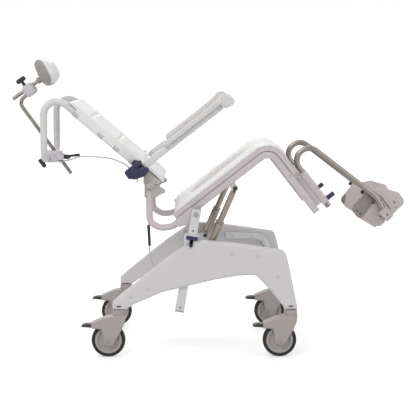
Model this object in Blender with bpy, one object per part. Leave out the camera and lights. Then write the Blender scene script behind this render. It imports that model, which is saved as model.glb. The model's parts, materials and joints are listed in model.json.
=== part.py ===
"""Shower commode chair with a tilting seat, built at rest in the tilted pose.

X points to the chair's front, Y to its left-hand side, Z up; the floor is z = 0.
Pieces on the seat are given in the seat's own frame: u forward along the seat, w up from it,
both measured from the tilt axis, so one function turns them into world positions.
"""
import math

import bmesh
import bpy
from mathutils import Matrix, Vector

# Overall placing and fits
X_SHIFT = -0.002
TOUCH_GAP = 0.0003
CLAMP_GAP = 0.0006
RUN_GAP = 0.0003
ROUND_SIDES = 14
ARC_STEP_DEG = 31.0
WHEEL_SIDES = 24
LEAST_TURN = math.radians(9.0)

# Casters
WHEEL_D = 0.125
WHEEL_W = 0.030
TYRE_DEPTH = 0.0125
CASTER_TRAIL = 0.040
STEM_X = 0.3165
STEM_Y = 0.250
STEM_D = 0.012
FORK_W = 0.050
FORK_LEG = 0.0065
AXLE_D = 0.010
HEAD_D = 0.048
HEAD_TOP = 0.1765
PEDAL_PIVOT = (-0.094, 0.1175)
PEDAL_KNUCKLE_R = 0.0075
PEDAL_PIN_D = 0.006

# Side panels
PANEL_T = 0.038
PANEL_Y = 0.250
PANEL_FOOT = 0.178
PANEL_EDGE_R = 0.008
SLOT_DEPTH = 0.0012
FRAME_TUBE_D = 0.026

# Height columns
COLUMN_FOOT = (-0.0945, 0.170)
TILT_AXIS = (-0.034, 0.530)
COLUMN_EAR = 0.021
COLUMN_LEN = math.dist(COLUMN_FOOT, TILT_AXIS) + COLUMN_EAR
COLUMN_LEAN = math.atan2(TILT_AXIS[0] - COLUMN_FOOT[0], TILT_AXIS[1] - COLUMN_FOOT[1])
COLUMN_W = 0.033
COLUMN_D = 0.026
COLUMN_HOLE_D = 0.0075
HEIGHT_STEP = 0.025
HOLES_BELOW = 3
HOLES_ABOVE = 1
CLIP_AT = 0.2785
COLLAR_AT = 0.2725
COLLAR_H = 0.032
COLLAR_W = 0.048
CLIP_BAR = (0.043, 0.014, 0.006)
CLIP_STEM = (0.013, 0.021)

# Tilt
TILT_DEG = 38.0
TRUNNION_D = 0.016
BEAM_AT = 0.210
BEAM_W = 0.036
BEAM_H = 0.026
STRUT_FOOT = (0.0075, 0.385)
STRUT_HEAD = (0.170, -0.016)
STRUT_Y = 0.205
STRUT_OUTER_D = 0.031
STRUT_INNER_D = 0.0225
STRUT_OUTER_LEN = 0.116
STRUT_EYE_W = 0.013
STRUT_PIN_D = 0.009
STRUT_SLACK = 0.0027

# Seat
RAIL_Y = 0.205
RAIL_W = 0.030
RAIL_T = 0.027
SEAT_REAR = -0.074
SEAT_TOP = 0.056
LEG_FRONT = 0.3945
LEG_END = -0.272
PAD_T = 0.0257
LEG_DRAW = 0.0020
LEG_TAPER = 0.0016
PAD_END = -0.112
KNEE_R = 0.078
CUSHION_HALF = 0.223
COMMODE_LEN = 0.270
COMMODE_W = 0.205
COMMODE_AT = 0.150
LOOP_D = 0.025
LOOP_TOP = 0.612

# Foot rests
HANGER_D = 0.022
HANGER_Y = 0.165
HANGER_U = 0.4035
HANGER_TAIL = 0.018
HOOK_R = 0.045
HOOK_W = -0.108
HANGER_KNEE = (0.5635, -0.3690)
HANGER_FOOT = (0.5530, -0.4570)
HANGER_SPLAY_DEG = 19.0
SOCKET_SIDE = 0.0270
SOCKET_TOP = -0.128
FOOT_KNOB_W = -0.262
FOOT_T = 0.012
FOOT_Y = 0.140
FOOT_HINGE_DEG = 6.9
FOOT_HINGE_AT = (0.501, -0.4685)
FOOT_GRIP = 0.054
FOOT_ROD_D = 0.009

# Back
RECLINE_AXIS = (-0.207, 0.6346)
BACK_LEAN = (-0.763, 0.646)
BACK_OFFSET = 0.3785
BACK_Y = 0.205
BACK_TUBE_D = 0.025
HANDLE_X = -0.590
HANDLE_BAR_Z = 0.725
HANDLE_BEND_R = 0.058
RECLINE_PIN_D = 0.014
BACK_PAD = (0.532, 0.985)
PAD_RIM = 0.0165
BACK_PAD_HALF = BACK_Y + PAD_RIM
BACK_PAD_T = 0.0090
BACK_PAD_CROWN = 0.0020

# Arms
ARM_Y = 0.250
ARM_PIVOT = (-0.030, 0.2525)
ARM_BAR_W = 0.024
ARM_BAR_T = 0.018
ARM_PAD_W = 0.051
ARM_PIN_D = 0.010

# Head rest
ROD_D = 0.014
ROD_LOW = (-0.513, 0.656)
ROD_BEND = (-0.709, 0.930)
ROD_TOP = (-0.6709, 0.9633)
PAD_ROD_TAIL = (-0.731, 0.941)
PAD_ROD_HEAD = (-0.628, 1.014)
HEAD_PAD = (-0.609, 1.042)
HEAD_FACE = (0.894, 0.447)
HEAD_PAD_W = 0.230
HEAD_PAD_H = 0.104

# Release lever and its cable
LEVER_Y = -0.105
CABLE_D = 0.0055

PARTS = {}


def start():
    for obj in list(bpy.data.objects):
        bpy.data.objects.remove(obj, do_unlink=True)
    scene = bpy.context.scene
    scene.unit_settings.system = "METRIC"
    scene.unit_settings.scale_length = 1.0


def material(name, colour, rough, metal=0.0):
    found = bpy.data.materials.get(name)
    if found:
        return found
    made = bpy.data.materials.new(name)
    made.use_nodes = True
    surface = made.node_tree.nodes["Principled BSDF"]
    surface.inputs["Base Color"].default_value = (*colour, 1.0)
    surface.inputs["Roughness"].default_value = rough
    surface.inputs["Metallic"].default_value = metal
    return made


FINISH = {
    "white": ((0.84, 0.84, 0.85), 0.42, 0.0),
    "soft_white": ((0.82, 0.81, 0.80), 0.62, 0.0),
    "navy": ((0.03, 0.035, 0.13), 0.38, 0.0),
    "grey": ((0.33, 0.33, 0.32), 0.45, 0.0),
    "warm_grey": ((0.42, 0.38, 0.35), 0.5, 0.0),
    "black": ((0.025, 0.025, 0.027), 0.5, 0.0),
    "rubber": ((0.03, 0.03, 0.03), 0.75, 0.0),
    "steel": ((0.62, 0.60, 0.57), 0.25, 1.0),
    "foot": ((0.66, 0.64, 0.63), 0.5, 0.0),
}


def finish(piece):
    colour, rough, metal = FINISH[piece]
    return material(piece, colour, rough, metal)


def seat(u, w):
    """World (x, z) of a point in the seat's frame, at rest."""
    a = math.radians(TILT_DEG)
    return (
        TILT_AXIS[0] + u * math.cos(a) - w * math.sin(a),
        TILT_AXIS[1] + u * math.sin(a) + w * math.cos(a),
    )


def seat_all(points):
    return [seat(u, w) for u, w in points]


def column(s, across=0.0):
    """World (x, z) at a length s up the column's centre line, and a distance forward of it."""
    a = COLUMN_LEAN
    return (
        COLUMN_FOOT[0] + s * math.sin(a) + across * math.cos(a),
        COLUMN_FOOT[1] + s * math.cos(a) - across * math.sin(a),
    )


def back(t, n):
    """World (x, z) at a length t up the back and a distance n in front of it."""
    return (BACK_LEAN[0] * t + -BACK_LEAN[1] * -n, BACK_LEAN[1] * t - BACK_LEAN[0] * n)


def fillet(points, radius, closed=True):
    """The outline with every corner rounded; radius is one number or one for each corner."""
    made = []
    count = len(points)
    for i, here in enumerate(points):
        r = radius[i] if isinstance(radius, (list, tuple)) else radius
        ends = not closed and i in (0, count - 1)
        if r <= 0 or ends:
            made.append(tuple(here))
            continue
        p = Vector(here)
        a = Vector(points[i - 1]) - p
        b = Vector(points[(i + 1) % count]) - p
        turn = a.angle(b)
        if turn > math.pi - LEAST_TURN:
            made.append(tuple(here))
            continue
        back_off = min(r / math.tan(turn / 2), 0.48 * a.length, 0.48 * b.length)
        r = back_off * math.tan(turn / 2)
        a.normalize()
        b.normalize()
        centre = p + (a + b).normalized() * (r / math.sin(turn / 2))
        first = p + a * back_off - centre
        last = p + b * back_off - centre
        sweep = math.pi - turn
        steps = max(1, math.ceil(math.degrees(sweep) / ARC_STEP_DEG - 0.01))
        for k in range(steps + 1):
            f = k / steps
            mixed = (first * math.sin((1 - f) * sweep) + last * math.sin(f * sweep)) / math.sin(sweep)
            made.append(tuple(centre + mixed))
    return made


def mesh_object(name, bm, look, origin=(0.0, 0.0, 0.0)):
    bmesh.ops.recalc_face_normals(bm, faces=bm.faces)
    bmesh.ops.translate(bm, verts=bm.verts, vec=-Vector(origin))
    mesh = bpy.data.meshes.new(name)
    bm.to_mesh(mesh)
    bm.free()
    made = bpy.data.objects.new(name, mesh)
    made.location = origin
    bpy.context.scene.collection.objects.link(made)
    if look:
        mesh.materials.append(finish(look))
    return made


def inset(points, by):
    """The outline with every side moved inwards."""
    count = len(points)
    ahead = [points[(i + 1) % count] for i in range(count)]
    area = sum(a[0] * b[1] - b[0] * a[1] for a, b in zip(points, ahead))
    turn = 1.0 if area > 0 else -1.0
    normals = []
    for i in range(count):
        along = Vector(points[(i + 1) % count]) - Vector(points[i])
        along.normalize()
        normals.append(Vector((-along.y, along.x)) * turn)
    moved = []
    for i in range(count):
        n1, n2 = normals[i - 1], normals[i]
        moved.append(tuple(Vector(points[i]) + (n1 + n2) * (by / (1.0 + n1.dot(n2)))))
    return moved, [(n1.cross(n2)) * turn > 0 for n1, n2 in zip([normals[-1]] + normals[:-1], normals)]


def plate(points, radius, y0, y1, edge=0.0, segments=1):
    """A plate from y0 to y1 with the (x, z) outline, its corners rounded by radius and its rims by edge."""
    radii = radius if isinstance(radius, (list, tuple)) else [radius] * len(points)
    levels = []
    for k in range(segments + 1 if edge > 0 else 1):
        angle = math.pi / 2 * k / segments
        levels.append((edge * (1 - math.sin(angle)), edge * (1 - math.cos(angle))))
    rings = []
    for inward, depth in levels:
        moved, convex = inset(points, inward)
        sized = [max(r - inward, 0.0008) if out else r + inward for r, out in zip(radii, convex)]
        sized = [new if r > 0 else 0 for new, r in zip(sized, radii)]
        rings.append((fillet(moved, sized), depth))
    layers = [(ring, y0 + depth) for ring, depth in rings]
    layers += [(ring, y1 - depth) for ring, depth in reversed(rings)]
    bm = bmesh.new()
    made = [[bm.verts.new((x, y, z)) for x, z in ring] for ring, y in layers]
    for one, two in zip(made, made[1:]):
        for k in range(len(one)):
            j = (k + 1) % len(one)
            bm.faces.new((one[k], one[j], two[j], two[k]))
    bm.faces.new(made[0][::-1])
    bm.faces.new(made[-1])
    return bm


def prism(points, y0, y1):
    return plate(points, 0.0, y0, y1)


def block(centre, size, turn=0.0, edge=0.0):
    """A box turned about Y, by an angle from X towards Z."""
    bm = bmesh.new()
    bmesh.ops.create_cube(bm, size=1.0)
    bmesh.ops.scale(bm, verts=bm.verts, vec=size)
    if edge > 0:
        bmesh.ops.bevel(bm, geom=list(bm.edges), offset=edge, segments=1, profile=0.5, affect="EDGES")
    bmesh.ops.rotate(bm, verts=bm.verts, cent=(0, 0, 0), matrix=Matrix.Rotation(-turn, 3, "Y"))
    bmesh.ops.translate(bm, verts=bm.verts, vec=centre)
    return bm


def rod(a, b, diameter, sides=ROUND_SIDES, edge=0.0):
    """A round bar from a to b, with optional rounded ends."""
    a, b = Vector(a), Vector(b)
    bm = bmesh.new()
    way = b - a
    r = diameter / 2
    bmesh.ops.create_cone(bm, cap_ends=True, segments=sides, radius1=r, radius2=r, depth=way.length)
    if edge > 0:
        rims = [e for e in bm.edges if abs(e.verts[0].co.z - e.verts[1].co.z) < 1e-7]
        bmesh.ops.bevel(bm, geom=rims, offset=edge, segments=1, profile=0.5, affect="EDGES")
    turn = Vector((0, 0, 1)).rotation_difference(way)
    bmesh.ops.rotate(bm, verts=bm.verts, cent=(0, 0, 0), matrix=turn.to_matrix())
    bmesh.ops.translate(bm, verts=bm.verts, vec=(a + b) / 2)
    return bm


def pin(x, z, y0, y1, diameter, sides=ROUND_SIDES, edge=0.0):
    return rod((x, y0, z), (x, y1, z), diameter, sides, edge)


def sweep(path, diameter, sides=12):
    """A bent round tube along the path, closed at both ends."""
    bm = bmesh.new()
    path = [Vector(p) for p in path]
    rings = []
    side = None
    for i, here in enumerate(path):
        before = (here - path[i - 1]).normalized() if i else (path[1] - here).normalized()
        after = (path[i + 1] - here).normalized() if i < len(path) - 1 else before
        way = (before + after).normalized()
        if side is None:
            side = way.orthogonal().normalized()
        side = (side - way * side.dot(way)).normalized()
        other = way.cross(side)
        stretch = 1.0 / max(0.5, before.dot(way))
        bend = (after - before)
        ring = []
        for k in range(sides):
            angle = 2 * math.pi * k / sides
            arm = side * math.cos(angle) + other * math.sin(angle)
            if bend.length > 1e-6:
                flat = bend.normalized()
                arm = arm + flat * arm.dot(flat) * (stretch - 1.0)
            ring.append(bm.verts.new(here + arm * diameter / 2))
        rings.append(ring)
    for first, second in zip(rings, rings[1:]):
        for k in range(sides):
            j = (k + 1) % sides
            bm.faces.new((first[k], first[j], second[j], second[k]))
    bm.faces.new(rings[0][::-1])
    bm.faces.new(rings[-1])
    return bm


def turned(profile, centre, sides=32):
    """A ring or disc about a line along Y: profile is (radius, y) points, closed on itself or at the axis."""
    bm = bmesh.new()
    x0, y0, z0 = centre
    rings = []
    for r, y in profile:
        if r <= 1e-9:
            rings.append([bm.verts.new((x0, y0 + y, z0))])
            continue
        ring = []
        for k in range(sides):
            angle = 2 * math.pi * k / sides
            ring.append(bm.verts.new((x0 + r * math.cos(angle), y0 + y, z0 + r * math.sin(angle))))
        rings.append(ring)
    loop = profile[0][0] > 1e-9
    pairs = list(zip(rings, rings[1:] + rings[:1] if loop else rings[1:]))
    for first, second in pairs:
        for k in range(sides):
            j = (k + 1) % sides
            if len(first) == 1:
                bm.faces.new((first[0], second[j], second[k]))
            elif len(second) == 1:
                bm.faces.new((first[k], first[j], second[0]))
            else:
                bm.faces.new((first[k], first[j], second[j], second[k]))
    return bm


def combine(target, other_bm, operation):
    """Joins or cuts with an exact Boolean, and bakes the result into the target's mesh."""
    other = mesh_object("tool", other_bm, None)
    change = target.modifiers.new("change", "BOOLEAN")
    change.operation = operation
    change.solver = "EXACT"
    change.object = other
    graph = bpy.context.evaluated_depsgraph_get()
    made = bpy.data.meshes.new_from_object(target.evaluated_get(graph))
    target.modifiers.clear()
    old = target.data
    target.data = made
    bpy.data.meshes.remove(old)
    tool_mesh = other.data
    bpy.data.objects.remove(other, do_unlink=True)
    bpy.data.meshes.remove(tool_mesh)
    return target


def add(target, bm):
    return combine(target, bm, "UNION")


def cut(target, bm):
    return combine(target, bm, "DIFFERENCE")


def part(name, bm, look, origin=(0.0, 0.0, 0.0)):
    made = mesh_object(name, bm, look, origin)
    PARTS[name] = made
    return made


def xyz(pair, y):
    return (pair[0], y, pair[1])


def sides():
    """The chair's right-hand side first: that is the side at negative Y."""
    return (("R", -1.0), ("L", 1.0))


# Casters


def caster(tag, x, y):
    hub = (x - CASTER_TRAIL, y, WHEEL_D / 2)
    outer = WHEEL_D / 2
    inner = outer - TYRE_DEPTH
    half = WHEEL_W / 2
    tread = 0.007
    tyre = [
        (inner, -half + 0.003),
        (outer - 0.005, -half),
        (outer, -half + tread),
        (outer, half - tread),
        (outer - 0.005, half),
        (inner, half - 0.003),
    ]
    part(f"tyre_{tag}", turned(tyre, hub, WHEEL_SIDES), "rubber", hub)
    rim = inner - TOUCH_GAP
    bore = AXLE_D / 2 + RUN_GAP
    disc = [
        (rim, -half + 0.0035),
        (rim - 0.008, -half + 0.0035),
        (rim - 0.013, -half + 0.008),
        (bore, -half + 0.0012),
        (bore, half - 0.0012),
        (rim - 0.013, half - 0.008),
        (rim - 0.008, half - 0.0035),
        (rim, half - 0.0035),
    ]
    part(f"hub_{tag}", turned(disc, hub, WHEEL_SIDES), "grey", hub)

    outline = [
        (0.0240, 0.1600),
        (0.0225, 0.1350),
        (0.0080, 0.1000),
        (-0.0240, 0.0450),
        (-0.0400, 0.0420),
        (-0.0560, 0.0520),
        (-0.0600, 0.0800),
        (-0.0660, 0.1060),
        (-0.1010, 0.1090),
        (-0.1030, 0.1270),
        (-0.0560, 0.1480),
        (-0.0240, 0.1560),
    ]
    radii = [0, 0.02, 0.03, 0.015, 0, 0.015, 0, 0, 0, 0.006, 0, 0]
    shape = [(x + dx, z) for dx, z in outline]
    body = plate(shape, radii, y - FORK_W / 2, y + FORK_W / 2, 0.0035)
    fork = part(f"fork_{tag}", body, "grey", (x, y, HEAD_TOP))
    head = rod((x, y, 0.140), (x, y, HEAD_TOP), HEAD_D, 12, 0.003)
    add(fork, head)
    add(fork, rod((x, y, 0.150), (x, y, PANEL_FOOT + 0.030), STEM_D, 10))
    slot_half = FORK_W / 2 - FORK_LEG
    cut(fork, pin(hub[0], hub[2], y - slot_half, y + slot_half, WHEEL_D + 0.007, 14))
    throat = block((x - 0.085, y, 0.1130), (0.040, 2 * slot_half, 0.026))
    cut(fork, throat)
    add(fork, pin(hub[0], hub[2], y - FORK_W / 2 - 0.001, y + FORK_W / 2 + 0.001, AXLE_D, 12))
    add(fork, pin(hub[0], hub[2], y - FORK_W / 2 - 0.0035, y - FORK_W / 2 + 0.003, 0.017, 6))
    add(fork, pin(hub[0], hub[2], y + FORK_W / 2 - 0.003, y + FORK_W / 2 + 0.0035, 0.017, 6))
    px, pz = x + PEDAL_PIVOT[0], PEDAL_PIVOT[1]
    add(fork, pin(px, pz, y - slot_half - 0.003, y + slot_half + 0.003, PEDAL_PIN_D, 10))

    paddle = [
        (-0.0985, 0.1245),
        (-0.1240, 0.1225),
        (-0.1375, 0.1185),
        (-0.1385, 0.1150),
        (-0.1240, 0.1125),
        (-0.0985, 0.1105),
    ]
    wide = 2 * slot_half - 0.004
    shape = [(x + dx, z) for dx, z in paddle]
    pedal = part(f"pedal_{tag}", plate(shape, 0.002, y - wide / 2, y + wide / 2), "black", (px, y, pz))
    add(pedal, pin(px, pz, y - wide / 2, y + wide / 2, 2 * PEDAL_KNUCKLE_R, 10))
    cut(pedal, pin(px, pz, y - wide, y + wide, PEDAL_PIN_D + 2 * RUN_GAP, 10))


# Base


def panel_outline():
    top = [
        (-0.340, 0.205),
        (-0.308, 0.234),
        (-0.239, 0.290),
        (-0.147, 0.364),
        (-0.078, 0.412),
        (-0.030, 0.4350),
        (0.030, 0.4315),
        (0.110, 0.4230),
        (0.290, 0.3975),
        (0.300, 0.376),
        (0.313, 0.320),
        (0.330, 0.236),
        (0.342, PANEL_FOOT),
    ]
    under = [
        (0.296, PANEL_FOOT),
        (0.276, 0.205),
        (0.238, 0.252),
        (0.185, 0.307),
        (0.120, 0.304),
        (0.040, 0.290),
        (-0.060, 0.267),
        (-0.166, 0.240),
        (-0.205, 0.222),
        (-0.262, 0.198),
        (-0.291, PANEL_FOOT),
        (-0.340, PANEL_FOOT),
    ]
    radii = [0.004, 0.05, 0.0, 0.2, 0.08, 0.06, 0.2, 0.2, 0.018, 0.05, 0.2, 0.0, 0.003]
    radii += [0.003, 0.05, 0.0, 0.025, 0.1, 0.2, 0.2, 0.1, 0.08, 0.03, 0.003, 0.003]
    return top + under, radii


def base():
    outer = PANEL_Y + PANEL_T / 2
    inner = PANEL_Y - PANEL_T / 2
    groove_d = COLUMN_D + RUN_GAP
    lean = COLUMN_LEAN
    for tag, s in sides():
        y0, y1 = sorted((s * inner, s * outer))
        panel = part(f"panel_{tag}", plate(*panel_outline(), y0, y1, PANEL_EDGE_R, 2), "white")
        ring = block(xyz(column(COLLAR_AT), s * PANEL_Y), (COLLAR_W, PANEL_T - 0.001, COLLAR_H), -lean, 0.002)
        add(panel, ring)
        middle = xyz(column(COLUMN_LEN / 2), s * (inner + groove_d / 2 - 0.002))
        groove = block(middle, (COLUMN_W + 2 * RUN_GAP, groove_d + 0.004, COLUMN_LEN + 0.1), -lean)
        cut(panel, groove)
        x, z = column(CLIP_AT)
        cut(panel, pin(x, z, s * PANEL_Y, s * (outer + 0.01), COLUMN_HOLE_D + 2 * RUN_GAP, 8))
        for x in (-STEM_X, STEM_X):
            hole = rod((x, s * STEM_Y, 0.15), (x, s * STEM_Y, PANEL_FOOT + 0.032), STEM_D + 3 * RUN_GAP, 10)
            cut(panel, hole)
            notch = block((x, s * outer, 0.191), (0.017, 2 * SLOT_DEPTH, 0.005), 0.0)
            cut(panel, notch)

    gap = TOUCH_GAP
    tube_y = inner - gap - FRAME_TUBE_D / 2
    front_x, low_z = 0.264, 0.280
    side_path = [(0.092, 0.384), (front_x, 0.375), (front_x, low_z)]
    smooth = fillet(side_path, [0, 0.052, 0], closed=False)
    near = [(x, -tube_y, z) for x, z in smooth]
    bend = 0.045
    arc = []
    for k in range(1, 4):
        a = math.radians(90 * k / 4)
        arc.append((front_x, -tube_y + bend * (1 - math.cos(a)), low_z - bend * math.sin(a)))
    path = near + arc + [(front_x, -tube_y + bend, low_z - bend)]
    path = path + [(x, -y, z) for x, y, z in reversed(path)]
    part("front_frame", sweep(path, FRAME_TUBE_D, 10), "white")


# Height adjustment


def carriage():
    lean = COLUMN_LEAN
    inner = PANEL_Y - PANEL_T / 2
    for tag, s in sides():
        y_mid = s * (inner + COLUMN_D / 2)
        body = block(xyz(column(COLUMN_LEN / 2), y_mid), (COLUMN_W, COLUMN_D, COLUMN_LEN), -lean, 0.003)
        post = part(f"column_{tag}", body, "white", xyz(column(CLIP_AT), y_mid))
        face = s * (inner + COLUMN_D)
        stops = [CLIP_AT + k * HEIGHT_STEP for k in range(-HOLES_BELOW, HOLES_ABOVE + 1)] + [0.014]
        for at in stops:
            x, z = column(at)
            cut(post, pin(x, z, face - s * 0.009, face + s * 0.001, COLUMN_HOLE_D, 6))
        add(post, pin(*TILT_AXIS, s * (inner + 0.004), s * (RAIL_Y + RAIL_W / 2 + 0.0006), TRUNNION_D, 18))

        outer = PANEL_Y + PANEL_T / 2
        y_clip = s * (outer + TOUCH_GAP + CLIP_BAR[2] / 2)
        bar = block(xyz(column(CLIP_AT), y_clip), (CLIP_BAR[0], CLIP_BAR[2], CLIP_BAR[1]), -lean, 0.002)
        clip = part(f"height_clip_{tag}", bar, "navy", xyz(column(CLIP_AT), y_clip))
        foot = xyz(column(CLIP_AT - CLIP_STEM[1] / 2 - 0.003), y_clip)
        add(clip, block(foot, (CLIP_STEM[0], CLIP_BAR[2] - 0.0006, CLIP_STEM[1]), -lean, 0.002))
        tip = s * (inner + COLUMN_D + 2 * RUN_GAP)
        x, z = column(CLIP_AT)
        add(clip, pin(x, z, tip, y_clip, COLUMN_HOLE_D - 2 * RUN_GAP, 8))

    reach = inner - TOUCH_GAP
    beam = part(
        "carriage_beam",
        block(xyz(column(BEAM_AT), 0), (BEAM_W, 2 * reach, BEAM_H), -lean, 0.003),
        "white",
    )
    bx, bz = column(BEAM_AT)
    fx, fz = STRUT_FOOT
    ear = [(bx, bz - 0.012), (fx - 0.003, fz - 0.014), (fx + 0.013, fz)]
    ear += [(fx - 0.003, fz + 0.013), (bx, bz + 0.012)]
    ear = fillet(ear, 0.009)
    gap = STRUT_EYE_W / 2 + 0.0006
    for tag, s in sides():
        for near in (STRUT_Y - gap - 0.006, STRUT_Y + gap):
            y0, y1 = sorted((s * near, s * (near + 0.006)))
            add(beam, prism(ear, y0, y1))
        add(beam, pin(fx, fz, s * (STRUT_Y - gap - 0.003), s * (STRUT_Y + gap + 0.003), STRUT_PIN_D, 12))


def struts():
    foot = Vector(STRUT_FOOT)
    head = Vector(seat(*STRUT_HEAD))
    way = (head - foot).normalized()
    length = (head - foot).length
    for tag, s in sides():
        y = s * STRUT_Y

        def at(t):
            p = foot + way * t
            return (p.x, y, p.y)

        barrel = rod(at(0.020), at(STRUT_OUTER_LEN), STRUT_OUTER_D, 16, 0.002)
        lower = part(f"strut_lower_{tag}", barrel, "warm_grey", at(0))
        add(lower, pin(foot.x, foot.y, y - STRUT_EYE_W / 2, y + STRUT_EYE_W / 2, 0.023, 14))
        neck = block(at(0.014), (0.026, STRUT_EYE_W, 0.018), math.atan2(way.y, way.x))
        add(lower, neck)
        cut(lower, pin(foot.x, foot.y, y - 0.02, y + 0.02, STRUT_PIN_D + 2 * RUN_GAP, 12))
        cut(lower, rod(at(0.024), at(STRUT_OUTER_LEN + 0.02), STRUT_INNER_D + 2 * RUN_GAP, 14))

        piston = rod(at(0.102), at(length - 0.019), STRUT_INNER_D, 14)
        upper = part(f"strut_upper_{tag}", piston, "steel", at(length))
        add(upper, block(at(length - 0.014), (0.018, STRUT_EYE_W, 0.018), math.atan2(way.y, way.x)))
        add(upper, pin(head.x, head.y, y - STRUT_EYE_W / 2, y + STRUT_EYE_W / 2, 0.0240, 14))
        cut(upper, pin(head.x, head.y, y - 0.02, y + 0.02, STRUT_PIN_D + 2 * STRUT_SLACK, 14))


# Seat


def ribbon(outer_r, back_off, thick, u_rear, w_end):
    """The seat's side profile: along the seat, over the knee and down the leg."""
    top = SEAT_TOP - back_off
    front = LEG_FRONT - back_off
    upper = fillet([(u_rear, top), (front, top), (front, w_end)], [0, outer_r, 0], closed=False)
    r = max(outer_r - thick, 0.006)
    lower = fillet(
        [(u_rear, top - thick), (front - thick, top - thick), (front - thick, w_end)], [0, r, 0], closed=False
    )
    return upper + lower[::-1]


def seat_frame():
    profile = seat_all(ribbon(KNEE_R - PAD_T, PAD_T + TOUCH_GAP, RAIL_T, SEAT_REAR + 0.004, LEG_END))
    frame = None
    for tag, s in sides():
        y0, y1 = sorted((s * (RAIL_Y - RAIL_W / 2), s * (RAIL_Y + RAIL_W / 2)))
        rail = plate(profile, 0.0, y0, y1, 0.005)
        if frame is None:
            frame = part("seat_frame", rail, "white", xyz(TILT_AXIS, 0))
        else:
            keep = rail
    reach = RAIL_Y - RAIL_W / 4
    w_bar = SEAT_TOP - PAD_T - RAIL_T / 2
    for u in (-0.040, 0.318):
        x, z = seat(u, w_bar)
        add(frame, rod((x, -reach, z), (x, reach, z), 0.022, 10))
    add(frame, keep)
    leg_u = LEG_FRONT - PAD_T - RAIL_T / 2
    a = math.radians(TILT_DEG)
    for w in (-0.160, -0.250):
        add(frame, block(xyz(seat(leg_u, w), 0), (0.020, 2 * reach, 0.022), a))
    front = HANGER_U
    mid_w = (SOCKET_TOP + LEG_END) / 2
    for tag, s in sides():
        y = s * HANGER_Y
        size = (SOCKET_SIDE, SOCKET_SIDE, SOCKET_TOP - LEG_END)
        add(frame, block(xyz(seat(front, mid_w), y), size, a))
        web = (SOCKET_TOP + LEG_END) / 2 + 0.002
        add(frame, block(xyz(seat((leg_u + front) / 2, web), y), (front - leg_u, 0.02, 0.128), a))
        bore_a, bore_b = seat(front, LEG_END - 0.01), seat(front, SOCKET_TOP + 0.01)
        cut(frame, rod(xyz(bore_a, y), xyz(bore_b, y), HANGER_D + 3 * CLAMP_GAP, 12))
        gap = STRUT_EYE_W / 2 + 0.0008
        hu, hw = STRUT_HEAD
        under = SEAT_TOP - PAD_T - RAIL_T + 0.004
        lug = [(hu - 0.013, under), (hu - 0.011, hw - 0.010), (hu + 0.011, hw - 0.010), (hu + 0.013, under)]
        lug = seat_all(fillet(lug, 0.008))
        for near in (STRUT_Y - gap - 0.0045, STRUT_Y + gap):
            y0, y1 = sorted((s * near, s * (near + 0.0045)))
            add(frame, prism(lug, y0, y1))
        hx, hz = seat(hu, hw)
        add(frame, pin(hx, hz, s * (STRUT_Y - gap - 0.006), s * (STRUT_Y + gap + 0.006), STRUT_PIN_D, 12))
        path = [seat(-0.050, w_bar - 0.001), (-0.118, 0.479), (-0.165, 0.473)]
        path += [(-0.2045, 0.495), (-0.2065, LOOP_TOP)]
        smooth = fillet(path, [0, 0.05, 0.05, 0.045, 0], closed=False)
        add(frame, sweep([(px, s * RAIL_Y, pz) for px, pz in smooth], LOOP_D, 10))
        knob_x, knob_z = seat(front + SOCKET_SIDE / 2 - 0.004, FOOT_KNOB_W)
        way = Vector((math.cos(a), 0, math.sin(a)))
        start_at = Vector((knob_x, y, knob_z))
        cut(frame, rod(start_at - way * 0.004, start_at + way * 0.02, 0.0086, 12))

    for tag, s in sides():
        outline = [(-0.086, 0.010), (-0.070, 0.0292), (0.004, 0.0292), (0.019, 0.012), (0.016, -0.012)]
        outline += [(-0.006, -0.018), (-0.048, -0.015), (-0.080, -0.002)]
        y0, y1 = sorted((s * (RAIL_Y + RAIL_W / 2 - 0.004), s * (RAIL_Y + RAIL_W / 2 + 0.0085)))
        add(frame, plate(seat_all(outline), 0.008, y0, y1))
        bore = sorted((s * (RAIL_Y - 0.008), s * (RAIL_Y + RAIL_W)))
        cut(frame, pin(*TILT_AXIS, *bore, TRUNNION_D + 2 * RUN_GAP, 18))


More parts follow.
